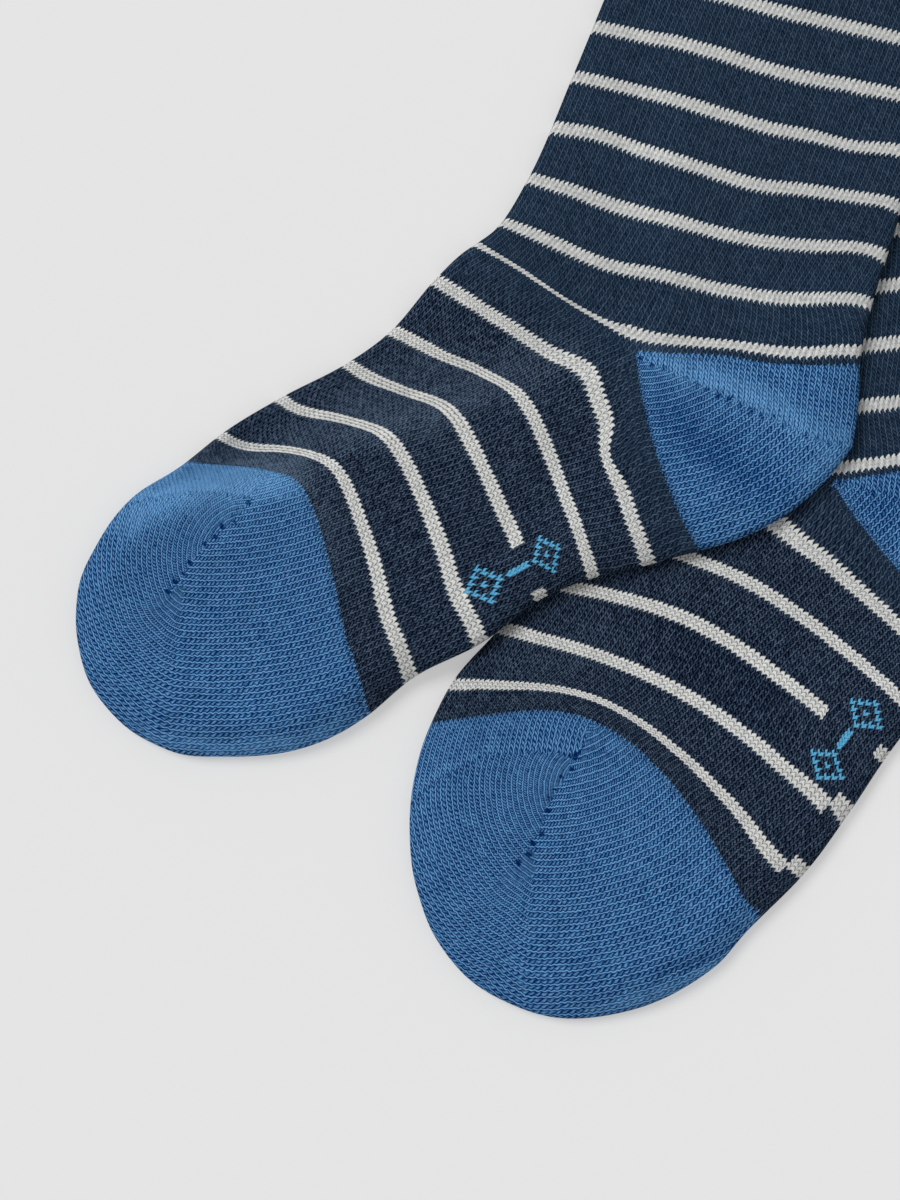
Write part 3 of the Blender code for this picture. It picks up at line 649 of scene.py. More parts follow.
def finishPiece(name, bm, material, wall):
    bmesh.ops.remove_doubles(bm, verts=bm.verts, dist=2e-6)
    bmesh.ops.dissolve_degenerate(bm, edges=bm.edges, dist=1e-6)
    bmesh.ops.recalc_face_normals(bm, faces=bm.faces)
    top = max(bm.faces, key=lambda face: face.calc_center_median().z)
    if top.normal.z < 0:
        bmesh.ops.reverse_faces(bm, faces=bm.faces)
    mesh = meshOf(name, bm, material)
    mesh.shade_smooth()
    obj = addObject(name + "_knit", mesh)
    thick = obj.modifiers.new("cloth", "SOLIDIFY")
    thick.thickness = wall * mm
    thick.offset = -1.0
    thick.use_rim = True
    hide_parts(name)
    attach(obj, "root")


def rowsBetween(sock, first, last, step):
    start, end = sock.marks[first], sock.marks[last]
    return np.linspace(start, end, max(2, math.ceil((end - start) / step) + 1))


def halfShares(length, count):
    # shares of a line from a folded edge: close steps round the fold, then even ones
    radius = laidShape["foldRadius"]
    steps = [radius * (1 - math.cos(math.radians(angle))) for angle in laidShape["foldAngles"]]
    even = np.linspace(radius, length, count - len(steps) + 1)
    return np.minimum(np.concatenate([steps, even]) / length, np.arange(count + 1) / count)


def acrossShares(sock, part, s, halfCount):
    # the shares across a row at which the columns of the mesh lie, close together at both folds
    run = runAlong(sock.plan(part, np.full_like(fineShares, s), fineShares))
    whole, front = run[-1], run[len(run) // 2]
    back = whole - front
    if min(front, back) < laidShape["leastHalf"]:
        return np.linspace(0.0, 1.0, 2 * halfCount + 1)
    ahead = halfShares(front, halfCount) * front
    behind = whole - halfShares(back, halfCount)[-2::-1] * back
    return np.interp(np.concatenate([ahead, behind]), run, fineShares)


def tubeGrid(sock, part, rows, halfCount):
    t = np.array([acrossShares(sock, part, s, halfCount) for s in rows])
    s = np.repeat(rows[:, None], t.shape[1], axis=1)
    return s, t, foldedAt(t.shape, columns=(0, -1))


tubeKnit = {
    "spread": 50.0,  # over this width from the front edge the wales reach their full spacing
    "gatherReach": 5.5,  # how far to each side a gather draws the courses
    "step": 2.0,  # courses by which the rounds step where they begin and end
}


def drawnCourses(sock, plan):
    # how far the courses are drawn out of line at each place
    places = plan.reshape(-1, 2)
    drawn = np.zeros(len(places))
    for spot, radius, courses in sock.sizes["pulls"]:
        drawn += courses * bell(np.linalg.norm(places - np.array(spot), axis=1), radius)
    for line, halfWidth, courses in sock.sizes["gathers"]:
        away, share = besideLine(line, places)
        drawn += courses * swell(share) * np.tanh(away / halfWidth) * bell(away, tubeKnit["gatherReach"])
    return drawn.reshape(plan.shape[:2])


def fromZero(steps):
    # running sums along each row
    return np.concatenate([np.zeros((len(steps), 1)), np.cumsum(steps, axis=1)], axis=1)


def countedWales(sock, s, plan):
    # wales from the front edge on: they lie closer together there than towards the back
    steps = np.linalg.norm(np.diff(plan, axis=1), axis=2)
    run = fromZero(steps)
    names, front, back = zip(*sock.sizes["wales"]["pitch"])
    knots = [sock.marks[name] for name in names]
    front, back = (np.interp(s[:, :-1], knots, pitch) for pitch in (front, back))
    pitch = front + (back - front) * smoothStep((run[:, 1:] + run[:, :-1]) / 2 / tubeKnit["spread"])
    return fromZero(steps / pitch)


def tubeWales(sock, part, s, t, plan):
    # wale and course numbers of a stretch of tube, on its upper and its lower layer
    columns = t.shape[1]
    middle = columns // 2
    heelRow = np.full_like(t[:1], sock.marks["heel"])
    atCorner = countedWales(sock, heelRow, sock.plan("leg", heelRow, t[:1]))[0, middle]
    course = sock.rowValues(part, s)["course"]
    drift = sorted(sock.sizes["wales"]["drift"])
    wale = countedWales(sock, s, plan) - atCorner - np.interp(course, *zip(*drift))
    course = course + drawnCourses(sock, plan)
    upper = cornersOf(np.stack([wale, course], axis=2))
    # on the lower layer the wales count on round the front fold and round the back or sole fold
    behind = (np.arange(columns - 1) >= middle)[None, :, None, None]
    frontFold, backFold = (cornersOf(np.repeat(wale[:, [k]], columns, axis=1)) for k in (0, -1))
    lower = upper.copy()
    lower[..., 0] = 2 * np.where(behind, backFold, frontFold) - upper[..., 0]
    # the step where the courses begin and end is taken up on the way round the underside
    lower[..., 1] += tubeKnit["step"] * behind * (1 - upper[..., 0] / np.maximum(backFold, 1e-6))
    return upper, lower


# how the socks' knit is drawn: yarn colours from shade to light, as they look on a screen
yarns = {
    "navy": ((0, 6, 20), (34, 52, 72), (84, 101, 121)),
    "footNavy": ((0, 3, 17), (34, 48, 68), (84, 101, 120)),
    "blue": ((0, 34, 84), (48, 93, 139), (103, 154, 202)),
    "grey": ((80, 87, 96), (173, 175, 174), (226, 226, 221)),
    "skyBlue": ((34, 98, 146), (66, 148, 191), (108, 180, 215)),
}

# Most pairs here and below are where a smooth rise begins and ends, with its height after them where it
# isn't 1. Those of luck, spread and cloud are a factor and the least value, and those of noise its scale
# and detail. Distances across a wale are shares of it.
stitchLook = {
    "toothFoot": 1.6,  # how deep the courses of one colour bite into the next, in courses
    "toothLeg": 2.3,
    "toothTurn": (-30.0, 8.0),  # courses over which the foot's teeth become the leg's
    "toothNap": ((0.2, 0.9), -0.7),
    "toothCentre": 0.333,  # keeps a toothed edge on its course
    "slant": 1.15,  # slant of the dark strokes between two wales
    "weave": 0.07,  # how far the wale lines swing in each course
    "wobbleNoise": (170.0, 1.0),
    "wobble": 0.22,  # how far stitches stray, in stitches
    "twitchNoise": (950.0, 1.0),
    "twitch": 0.16,
    "fluffNoise": (1500.0, 2.0),
    "linePlace": 0.1,  # the straight leg of the stitches, a fine light line along the wale
    "line": (0.14, 0.02),
    "lineLuck": (0.5, 0.7),  # luck is what makes one stitch differ from the next
    "groove": ((0.08, 0.18), (0.34, 0.24)),  # dark on both sides of the line
    "barWave": (0.0, -0.8),
    "barAway": (0.16, 0.30),
    "strokeWave": (0.20, 1.00),
    "strokeAway": (0.10, 0.20),
    "strokeLuck": (0.9, 0.5),
    "strokeNap": ((0.1, 1.0), -0.6),
    "spread": (0.14, -0.07),
    "cloudNoise": (38.0, 3.0),
    "cloud": (0.26, 0.87),
    "fuzzNoise": (2600.0, 2.0),
    "fuzz": 0.25,
    "bump": 0.55,
    "bumpDepth": 0.00028,
    "gloss": 0.03,
}

# the V of each stitch, which shows where two colours meet
chevronLook = {"light": 0.82, "edge": ((0.24, 0.48), -0.60), "middle": ((0.14, 0.0), -0.28), "fluff": 0.3}

# the tone of each kind of knit, and how much the light lines, the grooves beside them, the dark strokes
# between the slanted legs, the bars across, the fluff and the painted highlight and shade change it
shading = {
    "leg": {
        "middle": 0.465,
        "line": 0.27,
        "groove": -0.19,
        "stroke": -0.26,
        "bar": 0.06,
        "fluff": 0.26,
        "napAndPaintedLight": 0.125,
    },
    "foot": {
        "middle": 0.482,
        "line": 0.32,
        "groove": -0.32,
        "stroke": -0.53,
        "bar": 0.13,
        "fluff": 0.60,
        "napAndPaintedLight": 0.21,
    },
    "blue": {
        "middle": 0.55,
        "line": 0.54,
        "groove": -0.42,
        "stroke": -0.60,
        "bar": 0.20,
        "fluff": 0.42,
        "napAndPaintedLight": 0.16,
    },
}


nodeGrid = {"inRow": 9, "across": 180, "down": 160}  # how the nodes are laid out in the editor


def linear(screen):
    # a colour as a screen shows it, as amounts of light
    shares = [value / 255 for value in screen]
    return (*[s / 12.92 if s <= 0.04045 else ((s + 0.055) / 1.055) ** 2.4 for s in shares], 1.0)


class KnitNodes:
    # the nodes of one knitted material, wired as they are asked for
    def __init__(self, name):
        self.material, self.shader = newMaterial(name)
        self.tree = self.material.node_tree
        self.place = 0

    def add(self, kind, **settings):
        made = self.tree.nodes.new(kind)
        row, place = divmod(self.place, nodeGrid["inRow"])
        self.place += 1
        made.location = (-nodeGrid["across"] * (place + 2), -nodeGrid["down"] * row)
        for name, value in settings.items():
            setattr(made, name, value)
        return made

    def feed(self, socket, value):
        if isinstance(value, bpy.types.NodeSocket):
            self.tree.links.new(value, socket)
        else:
            socket.default_value = value

    def math(self, operation, *values):
        made = self.add("ShaderNodeMath", operation=operation)
        for socket, value in zip(made.inputs, values):
            self.feed(socket, value)
        return made.outputs[0]

    def joined(self, operation, values):
        result = values[0]
        for value in values[1:]:
            result = self.math(operation, result, value)
        return result

    def plus(self, *values):
        return self.joined("ADD", values)

    def times(self, *values):
        return self.joined("MULTIPLY", values)

    def minus(self, first, second):
        return self.math("SUBTRACT", first, second)

    def scaled(self, value, factor, rest):
        return self.math("MULTIPLY_ADD", value, factor, rest)

    def gap(self, first, second):
        return self.math("ABSOLUTE", self.minus(first, second))

    def floor(self, value):
        return self.math("FLOOR", value)

    def fraction(self, value):
        return self.math("FRACT", value)

    def below(self, value, limit):
        return self.math("LESS_THAN", value, limit)

    def above(self, value, limit):
        return self.math("GREATER_THAN", value, limit)

    def within(self, value, low, high):
        return self.math("COMPARE", value, (low + high) / 2, (high - low) / 2)

    def repeat(self, value, every):
        return self.math("FLOORED_MODULO", value, every)

    def wave(self, shape, value, period, phase=0.0):
        return self.math(shape, self.scaled(value, 2 * math.pi / period, phase))

    def rise(self, value, ends, height=None, rest=0.0):
        # from the rest, smoothly up or down by the height while the value goes from one end to the other
        made = self.add("ShaderNodeMapRange", interpolation_type="SMOOTHSTEP")
        for name, entry in (("Value", value), ("From Min", ends[0]), ("From Max", ends[1])):
            self.feed(made.inputs[name], entry)
        risen = made.outputs["Result"]
        return risen if height is None else self.scaled(risen, height, rest)

    def hump(self, value, up, down):
        return self.times(self.rise(value, up), self.rise(value, down))

    def mix(self, share, first, second, blend="MIX"):
        made = self.add("ShaderNodeMix", data_type="RGBA", blend_type=blend)
        for place, value in ((0, share), (6, first), (7, second)):
            self.feed(made.inputs[place], value)
        return made.outputs[2]

    def mixValue(self, share, first, second):
        made = self.add("ShaderNodeMix", data_type="FLOAT")
        for place, value in ((0, share), (2, first), (3, second)):
            self.feed(made.inputs[place], value)
        return made.outputs[0]

    def mapPlace(self, name):
        made = self.add("ShaderNodeSeparateXYZ")
        self.tree.links.new(self.add("ShaderNodeUVMap", uv_map=name).outputs["UV"], made.inputs[0])
        return made.outputs["X"], made.outputs["Y"]

    def noise(self, scale, detail):
        made = self.add("ShaderNodeTexNoise")
        setSockets(made, {"Scale": scale, "Detail": detail})
        place = self.add("ShaderNodeTexCoord")
        self.tree.links.new(place.outputs["Object"], made.inputs["Vector"])
        return made.outputs["Fac"]

    def centredNoise(self, scaleAndDetail):
        return self.minus(self.noise(*scaleAndDetail), 0.5)

    def yarn(self, name, shade):
        made = self.add("ShaderNodeValToRGB")
        stops = made.color_ramp.elements
        stops.new(0.5)
        for stop, place, screen in zip(stops, (0.0, 0.5, 1.0), yarns[name]):
            stop.position = place
            stop.color = linear(screen)
        self.feed(made.inputs["Fac"], shade)
        return made.outputs["Color"]


def stitchLuck(knit, wale, turn):
    # three chance numbers for each stitch
    number = knit.add("ShaderNodeCombineXYZ")
    knit.feed(number.inputs[0], knit.floor(wale))
    knit.feed(number.inputs[1], knit.floor(turn))
    random = knit.add("ShaderNodeTexWhiteNoise", noise_dimensions="2D")
    knit.feed(random.inputs["Vector"], number.outputs[0])
    luck = knit.add("ShaderNodeSeparateColor")
    knit.feed(luck.inputs[0], random.outputs["Color"])
    return list(luck.outputs)


def stitches(knit):
    # the wale and course of each point, the row of its stitch, and all that makes the yarn light or dark
    look = stitchLook
    wale, course = knit.mapPlace("knit")
    # painted highlight and painted shade, as stored on the mesh; it also smooths the stitches
    napAndPaintedLight = knit.add("ShaderNodeAttribute", attribute_name="napAndPaintedLight").outputs["Fac"]
    stray = knit.times(knit.centredNoise(look["wobbleNoise"]), 2 * look["wobble"])
    twitch = knit.times(knit.centredNoise(look["twitchNoise"]), 2 * look["twitch"])
    swing = knit.times(knit.wave("SINE", course, 1.0), look["weave"])
    wale = knit.plus(knit.plus(wale, swing), knit.plus(stray, twitch))
    course = knit.plus(course, knit.minus(twitch, stray))
    across = knit.fraction(wale)
    side = knit.gap(across, 0.5)
    # the edge between two courses: sharp at the middle of a wale, round between two wales
    tooth = knit.rise(course, look["toothTurn"], look["toothLeg"] - look["toothFoot"], look["toothFoot"])
    tooth = knit.times(tooth, knit.rise(napAndPaintedLight, *look["toothNap"], 1.0))
    rounded = knit.times(side, knit.scaled(side, -2.0, 2.0))
    depth = knit.times(tooth, knit.minus(look["toothCentre"], rounded))
    bitten = knit.plus(depth, 0.5, course)
    turn = knit.scaled(across, look["slant"], course)
    lineLuck, strokeLuck, toneLuck = stitchLuck(knit, wale, turn)
    away = knit.gap(knit.fraction(knit.plus(across, 0.5 - look["linePlace"])), 0.5)
    line = knit.times(knit.rise(away, look["line"]), knit.scaled(lineLuck, *look["lineLuck"]))
    wave = knit.wave("COSINE", turn, 1.0)
    bar = knit.times(knit.rise(wave, look["barWave"]), knit.rise(away, look["barAway"]))
    stroke = knit.times(
        knit.rise(wave, look["strokeWave"]),
        knit.rise(away, look["strokeAway"]),
        knit.scaled(strokeLuck, *look["strokeLuck"]),
        knit.rise(napAndPaintedLight, *look["strokeNap"], 1.0),
    )
    fluff = knit.centredNoise(look["fluffNoise"])
    spread = knit.scaled(toneLuck, *look["spread"])
    chevron = knit.rise(knit.gap(knit.fraction(bitten), 0.5), *chevronLook["edge"], chevronLook["light"])
    chevron = knit.plus(knit.rise(side, *chevronLook["middle"], chevron), spread)
    return {
        "wale": wale,
        "course": course,
        "row": knit.floor(bitten),
        "side": side,
        "chevron": knit.scaled(fluff, chevronLook["fluff"], chevron),
        "stroke": stroke,
        "bar": bar,
        "line": line,
        "groove": knit.hump(away, *look["groove"]),
        "napAndPaintedLight": napAndPaintedLight,
        "spread": spread,
        "fluff": fluff,
    }


def yarnShade(knit, look, kind):
    # how light or dark the yarn of one kind of knit is at each point
    tone = shading[kind]
    shade = knit.plus(look["spread"], tone["middle"])
    # the last of these parts adds the painted highlight and painted shade
    for part in ("stroke", "bar", "line", "groove", "napAndPaintedLight"):
        shade = knit.scaled(look[part], tone[part], shade)
    return knit.scaled(look["fluff"], 2 * tone["fluff"], shade)


def finishKnit(knit, colour, height, roughness):
    cloudy = knit.scaled(knit.noise(*stitchLook["cloudNoise"]), *stitchLook["cloud"])
    tone = knit.add("ShaderNodeCombineColor")
    for socket in tone.inputs[:3]:
        knit.feed(socket, cloudy)
    knit.feed(knit.shader.inputs["Base Color"], knit.mix(1.0, colour, tone.outputs[0], "MULTIPLY"))
    bump = knit.add("ShaderNodeBump")
    setSockets(bump, {"Strength": stitchLook["bump"], "Distance": stitchLook["bumpDepth"]})
    fuzz = knit.noise(*stitchLook["fuzzNoise"])
    knit.feed(bump.inputs["Height"], knit.scaled(fuzz, stitchLook["fuzz"], height))
    knit.feed(knit.shader.inputs["Normal"], bump.outputs["Normal"])
    setSockets(knit.shader, {"Roughness": roughness, "Specular IOR Level": stitchLook["gloss"]})
    return knit.material


# the body: navy with thin stripes, and a plain size mark knitted in
bodyKnit = {
    "rowStep": 1.0,
    "halfColumns": 38,
    "footTurn": (0.0, -14.0),  # courses over which the leg's knit becomes the foot's
    "roughness": 0.9,
}
stripes = {
    "every": 14,  # courses from one stripe to the next
    "courses": 3,
    "first": 3,
    "stepsBelow": -1.0,  # the course under which the stripes step where the rounds begin and end
    "toeStepsBelow": -59.0,  # under this course they step at the wale that a sock's jog gives for the toe
    "lean": 0.114,  # on the leg, the wales by which a stripe's stitches lean in each course
    "leanStart": 0.138,
    "onLeg": ((-14.0, 4.0), 0.6),  # how far the long strokes take the place of the V
    "tone": 0.56,
    "stroke": 0.24,
    "fluff": 1.1,
}
# where the navy piece is blue already, in courses for its edges and in wales for the heel's start
pocketEdge = {"tooth": -0.9, "toe": -76.6, "heelTop": 0.3, "heelStart": -0.3}
# the diamonds' places from the middle of the mark, and half their size and half the dash, in stitches
knitMark = {"diamonds": (-7, 7), "half": 3.0, "dash": 2.5}


def stripeCells(knit, look, jog):
    # where the courses begin and end, near the sole edge, they step
    course = look["course"]
    atToe = knit.below(course, stripes["toeStepsBelow"])
    start = knit.scaled(atToe, jog["atToe"] - jog["wale"], jog["wale"])
    past = knit.times(knit.above(look["wale"], start), knit.below(course, stripes["stepsBelow"]))
    jogged = knit.floor(knit.scaled(past, -tubeKnit["step"], look["row"]))
    turn = knit.repeat(knit.minus(jogged, stripes["first"]), stripes["every"])
    return knit.below(turn, stripes["courses"] - 0.5)


def stripeShade(knit, look):
    # on the stretched leg each stitch of a stripe is one long slanted stroke
    shift = stripes["every"] / 2 - stripes["first"]
    fromStripe = knit.repeat(knit.plus(look["course"], shift), stripes["every"])
    lean = knit.scaled(fromStripe, -stripes["lean"], look["wale"])
    stroke = knit.wave("COSINE", knit.plus(lean, stripes["leanStart"]), 1.0)
    tone = knit.scaled(look["fluff"], stripes["fluff"], stripes["tone"])
    stroke = knit.scaled(stroke, stripes["stroke"], tone)
    return knit.mixValue(knit.rise(look["course"], *stripes["onLeg"]), look["chevron"], stroke)


def markCells(knit, look, mark):
    # a row of small diamonds and a dash, one cell a stitch
    row, middle = look["row"], mark["row"]
    across = knit.gap(knit.floor(look["wale"]), mark["wale"])
    dash = knit.within(row, middle - knitMark["dash"], middle + knitMark["dash"])
    cells = knit.times(knit.below(across, 0.5), dash)
    for place in knitMark["diamonds"]:
        ring = knit.plus(across, knit.gap(row, middle + place))
        outer = knit.within(ring, knitMark["half"] - 0.5, knitMark["half"] + 0.5)
        cells = knit.math("MAXIMUM", cells, knit.math("MAXIMUM", outer, knit.below(ring, 0.5)))
    return cells


def besideMark(knit, look, mark):
    # the stretch of stripe that the size mark's place leaves out
    rows = knit.within(look["row"], mark["row"] - stripes["every"] / 2, mark["row"] + stripes["every"] / 2)
    return knit.times(knit.within(look["wale"], *mark["stripeGap"]), rows)


def pocketCells(knit, look, heelEdge):
    # the blue of the toe and the heel begins a little way inside the navy piece
    edge = knit.scaled(look["side"], pocketEdge["tooth"], look["course"])
    atHeel = knit.within(edge, heelEdge, pocketEdge["heelTop"])
    atHeel = knit.times(atHeel, knit.above(look["wale"], pocketEdge["heelStart"]))
    return knit.math("MAXIMUM", knit.below(edge, pocketEdge["toe"]), atHeel)


def bodyMaterial(name, sizes):
    knit = KnitNodes(name)
    look = stitches(knit)
    leg, foot, blue = (yarnShade(knit, look, kind) for kind in ("leg", "foot", "blue"))
    bare = besideMark(knit, look, sizes["mark"])
    striped = knit.times(stripeCells(knit, look, sizes["jog"]), knit.minus(1.0, bare))
    stripeTone = stripeShade(knit, look)
    onFoot = knit.rise(look["course"], bodyKnit["footTurn"])
    navy = knit.mix(onFoot, knit.yarn("navy", leg), knit.yarn("footNavy", foot))
    colour = knit.mix(striped, navy, knit.yarn("grey", stripeTone))
    colour = knit.mix(markCells(knit, look, sizes["mark"]), colour, knit.yarn("skyBlue", look["chevron"]))
    colour = knit.mix(pocketCells(knit, look, sizes["heel"]["edge"]), colour, knit.yarn("blue", blue))
    height = knit.math("MAXIMUM", foot, knit.times(stripeTone, striped))
    return finishKnit(knit, colour, height, bodyKnit["roughness"])


def makeBody(sock):
    bm = bmesh.new()
    for part, ends in (("leg", ("cuffBase", "heel")), ("foot", ("heel", "toeLine"))):
        rows = rowsBetween(sock, *ends, bodyKnit["rowStep"])
        s, t, folded = tubeGrid(sock, part, rows, bodyKnit["halfColumns"])
        plan = sock.plan(part, s, t)
        layers = skin(sock, plan, folded, sock.thickness(part, s, t))
        upper, lower = tubeWales(sock, part, s, t, plan)
        addCloth(bm, sock, plan, layers, [{"knit": lower}, {"knit": upper}])
    name = sock.name + "_body"
    finishPiece(name, bm, bodyMaterial(name + "Yarn", sock.sizes), laidShape["wall"])


# the ribbed cuff
cuffKnit = {
    "rib": 4.0,
    "ribEdge": 1.8,  # the higher, the squarer the ribs
    "depth": 0.55,
    "rowStep": 1.2,
    "columnsPerRib": 8,
    "wales": 4,
    "wall": 1.2,
    # the purl wales sunk between the ribs are made darker: painted shade of the grooves, with the purl's own
    # look
    "purlGrooveShade": ((0.30, 0.18), -0.22),
    "roughness": 0.92,
}


def ribMaterial(name):
    knit = KnitNodes(name)
    look = stitches(knit)
    turn = knit.fraction(knit.math("DIVIDE", look["wale"], cuffKnit["wales"]))
    # darker in the grooves between ribs: painted shade, with the purl's own look
    shade = knit.rise(knit.gap(turn, 0.5), *cuffKnit["purlGrooveShade"], yarnShade(knit, look, "leg"))
    return finishKnit(knit, knit.yarn("navy", shade), shade, cuffKnit["roughness"])


def makeCuff(sock):
    rows = rowsBetween(sock, "cuffTop", "cuffBase", cuffKnit["rowStep"])
    width = runAlong(sock.plan("leg", np.full_like(fineShares, rows[0]), fineShares))[-1]
    radius = laidShape["foldRadius"]
    quarter = math.pi / 2 * radius
    halfRound = width - 2 * radius + 2 * quarter
    ribs = round(halfRound / cuffKnit["rib"])
    arc = np.linspace(0.0, halfRound, ribs * cuffKnit["columnsPerRib"] + 1)
    fromEdge = np.minimum(arc, halfRound - arc)
    bent = np.clip(fromEdge / quarter, 0, 1) * math.pi / 2
    inset = radius * (1 - np.cos(bent)) + np.maximum(fromEdge - quarter, 0)
    share = np.where(arc < halfRound / 2, inset, width - inset) / width
    t = np.broadcast_to(share, (len(rows), len(share)))
    s = np.broadcast_to(rows[:, None], t.shape)
    ribCount = arc / halfRound * ribs
    wave = np.tanh(cuffKnit["ribEdge"] * np.cos(2 * math.pi * ribCount)) / math.tanh(cuffKnit["ribEdge"])
    groove = cuffKnit["depth"] * (0.5 - 0.5 * wave)
    plan = sock.plan("leg", s, t)
    folded = foldedAt(t.shape, columns=(0, -1))
    layers = skin(sock, plan, folded, sock.thickness("leg", s, t), 0.0, groove)
    wale = np.broadcast_to(ribCount * cuffKnit["wales"], t.shape)
    course = sock.rowValues("leg", s)["course"]
    bm = bmesh.new()
    maps = [{"knit": cornersOf(np.stack([way * wale, course], axis=2))} for way in (-1, 1)]
    addCloth(bm, sock, plan, layers, maps)
    name = sock.name + "_cuff"
    finishPiece(name, bm, ribMaterial(name + "Yarn"), cuffKnit["wall"])


# the pockets of the heel and the toe: plain blue, with drawn-out stitches in a zigzag along the gusset
pocketKnit = {"course": 0.91, "roughness": 0.9}
gussetLook = {
    "every": 2.3,  # from one hole to the next
    "zigzag": 0.4,
    "holeWide": (0.75, 0.25),
    "holeLong": (0.1, 0.8),
    "patchNoise": (420.0, 1.0),
    "patch": (0.38, 0.56),
    "groove": 0.35,
    "grooveWidth": 0.9,
}


def lineMap(line, plan):
    # the distance from a line and the run along it, for each place of a grid
    return np.stack(alongLine(line, plan.reshape(-1, 2)), axis=1).reshape(plan.shape)


def gussetGroove(gusset):
    return -gussetLook["groove"] * bell(gusset[..., 0], gussetLook["grooveWidth"])


def gussetHoles(knit, dark, shade):
    away, run = knit.mapPlace("gusset")
    zigzag = knit.times(knit.wave("SINE", run, 2 * gussetLook["every"]), gussetLook["zigzag"])
    hole = knit.times(
        knit.rise(knit.gap(away, zigzag), gussetLook["holeWide"]),
        knit.rise(knit.wave("SINE", run, gussetLook["every"]), gussetLook["holeLong"]),
        knit.rise(knit.noise(*gussetLook["patchNoise"]), gussetLook["patch"]),
    )
    return knit.scaled(hole, dark, shade)


heelKnit = {"columns": 44, "wale": 1.22, "aboveWale": 1.13, "radius": 41.0}
heelLook = {
    "hole": -0.36,
    "fringe": ((0.1, 0.7), (3.0, 1.6)),  # above the gusset the drawn-in stitches show as light streaks
    "streakEvery": 1.05,
    "streakSlant": 2.2,
    "streak": (0.20, 0.04),
    "gapeWide": ((-1.6, -0.3), (0.5, 0.0)),  # under it, half way along, they gape
    "gapeLong": ((9.0, 15.0), (29.0, 24.0)),
    "gapeBeat": (-0.6, 0.6),
    "gape": -0.34,
}


def heelMaterial(name):
    knit = KnitNodes(name)
    shade = gussetHoles(knit, heelLook["hole"], yarnShade(knit, stitches(knit), "blue"))
    away, run = knit.mapPlace("gusset")
    slant = knit.times(away, heelLook["streakSlant"])
    streak = knit.scaled(knit.wave("SINE", run, heelLook["streakEvery"], slant), *heelLook["streak"])
    shade = knit.scaled(knit.hump(away, *heelLook["fringe"]), streak, shade)
    gape = knit.times(
        knit.hump(away, *heelLook["gapeWide"]),
        knit.hump(run, *heelLook["gapeLong"]),
        knit.rise(knit.wave("SINE", run, gussetLook["every"]), heelLook["gapeBeat"]),
    )
    shade = knit.scaled(gape, heelLook["gape"], shade)
    return finishKnit(knit, knit.yarn("blue", shade), shade, pocketKnit["roughness"])


def heelWales(sock, places):
    # below the gusset the wales curve with the sole, above it they run on from the leg
    heel = sock.sizes["heel"]
    out = places - np.array(heel["nether"])
    swept = np.arctan2(out[..., 1], out[..., 0]) + math.pi / 2
    away = np.linalg.norm(out, axis=-1)
    nether = np.stack([away / heelKnit["wale"], swept * heelKnit["radius"] / pocketKnit["course"]], axis=-1)
    way = math.radians(heel["above"])
    along = places @ np.array([math.cos(way), math.sin(way)]) / pocketKnit["course"]
    across = places @ np.array([math.sin(way), -math.cos(way)]) / heelKnit["aboveWale"]
    return nether, np.stack([across, along], axis=-1)


def makeHeel(sock):
    count = heelKnit["columns"]

    def length(back, down):
        back, down = (np.broadcast_to(share, fineShares.shape) for share in (back, down))
        return runAlong(sock.heelPlan(back, down))[-1]

    def spaced(lengths):
        # shares from the pocket's inner edge to its folded one, for each line across it
        each = [np.interp(k / count, (0, 1), lengths) for k in range(count + 1)]
        return np.stack([1 - halfShares(own, count)[::-1] for own in each], axis=1)

    back = spaced([length(fineShares, end) for end in (0.0, 1.0)])
    down = spaced([length(end, fineShares) for end in (0.0, 1.0)]).T
    plan = sock.heelPlan(back, down)
    dome = sock.sizes["heel"]["dome"] * np.sin(math.pi * back) * np.sin(math.pi * down)
    thickness = sock.thickness("leg", np.full_like(back, sock.marks["heel"]), np.ones_like(back)) + dome
    gusset = lineMap(sock.sizes["heelGusset"], plan)
    folded = foldedAt(back.shape, rows=(-1,), columns=(-1,))
    layers = skin(sock, plan, folded, thickness, gussetGroove(gusset))
    above = faceCentres(gusset)[..., 0] > 0
    nether, higher = (cornersOf(values) for values in heelWales(sock, plan))
    wales = np.where(above[:, :, None, None, None], higher, nether)
    bm = bmesh.new()
    maps = {"knit": wales, "gusset": cornersOf(gusset)}
    addCloth(bm, sock, plan, layers, [maps, maps])
    name = sock.name + "_heel"
    finishPiece(name, bm, heelMaterial(name + "Yarn"), laidShape["wall"])


toeKnit = {
    "rowStep": 0.8,
    "halfColumns": 38,
    # the last rows of the mesh, as shares of the way back from the tip
    "tipRows": (0.86, 0.72, 0.58, 0.45, 0.33, 0.22, 0.13, 0.06, 0.02, 0.0),
    "fanReach": 0.6,  # share of the turn over which the wales of the fan reach their own spacing
    "seamRidge": 0.3,
    "seamWidth": 0.9,
}
toeLook = {
    "hole": -0.90,
    "dotEvery": 1.15,  # the linking seam: a row of fine slanted dots beside a light band
    "dotSlant": 2.6,
    "dotWide": (0.6, 0.25),
    "dotLong": (0.0, 0.8),
    "dot": -0.28,
    "bandPlace": 1.3,
    "band": ((0.9, 0.3), 0.08),
}


def toeMaterial(name):
    knit = KnitNodes(name)
    shade = gussetHoles(knit, toeLook["hole"], yarnShade(knit, stitches(knit), "blue"))
    away, run = knit.mapPlace("seam")
    beat = knit.wave("SINE", run, toeLook["dotEvery"], knit.times(away, toeLook["dotSlant"]))
    dots = knit.times(knit.rise(knit.gap(away, 0.0), toeLook["dotWide"]), knit.rise(beat, toeLook["dotLong"]))
    shade = knit.scaled(dots, toeLook["dot"], shade)
    shade = knit.rise(knit.gap(away, toeLook["bandPlace"]), *toeLook["band"], shade)
    return finishKnit(knit, knit.yarn("blue", shade), shade, pocketKnit["roughness"])


def wayOf(vector):
    return np.arctan2(vector[..., 1], vector[..., 0])


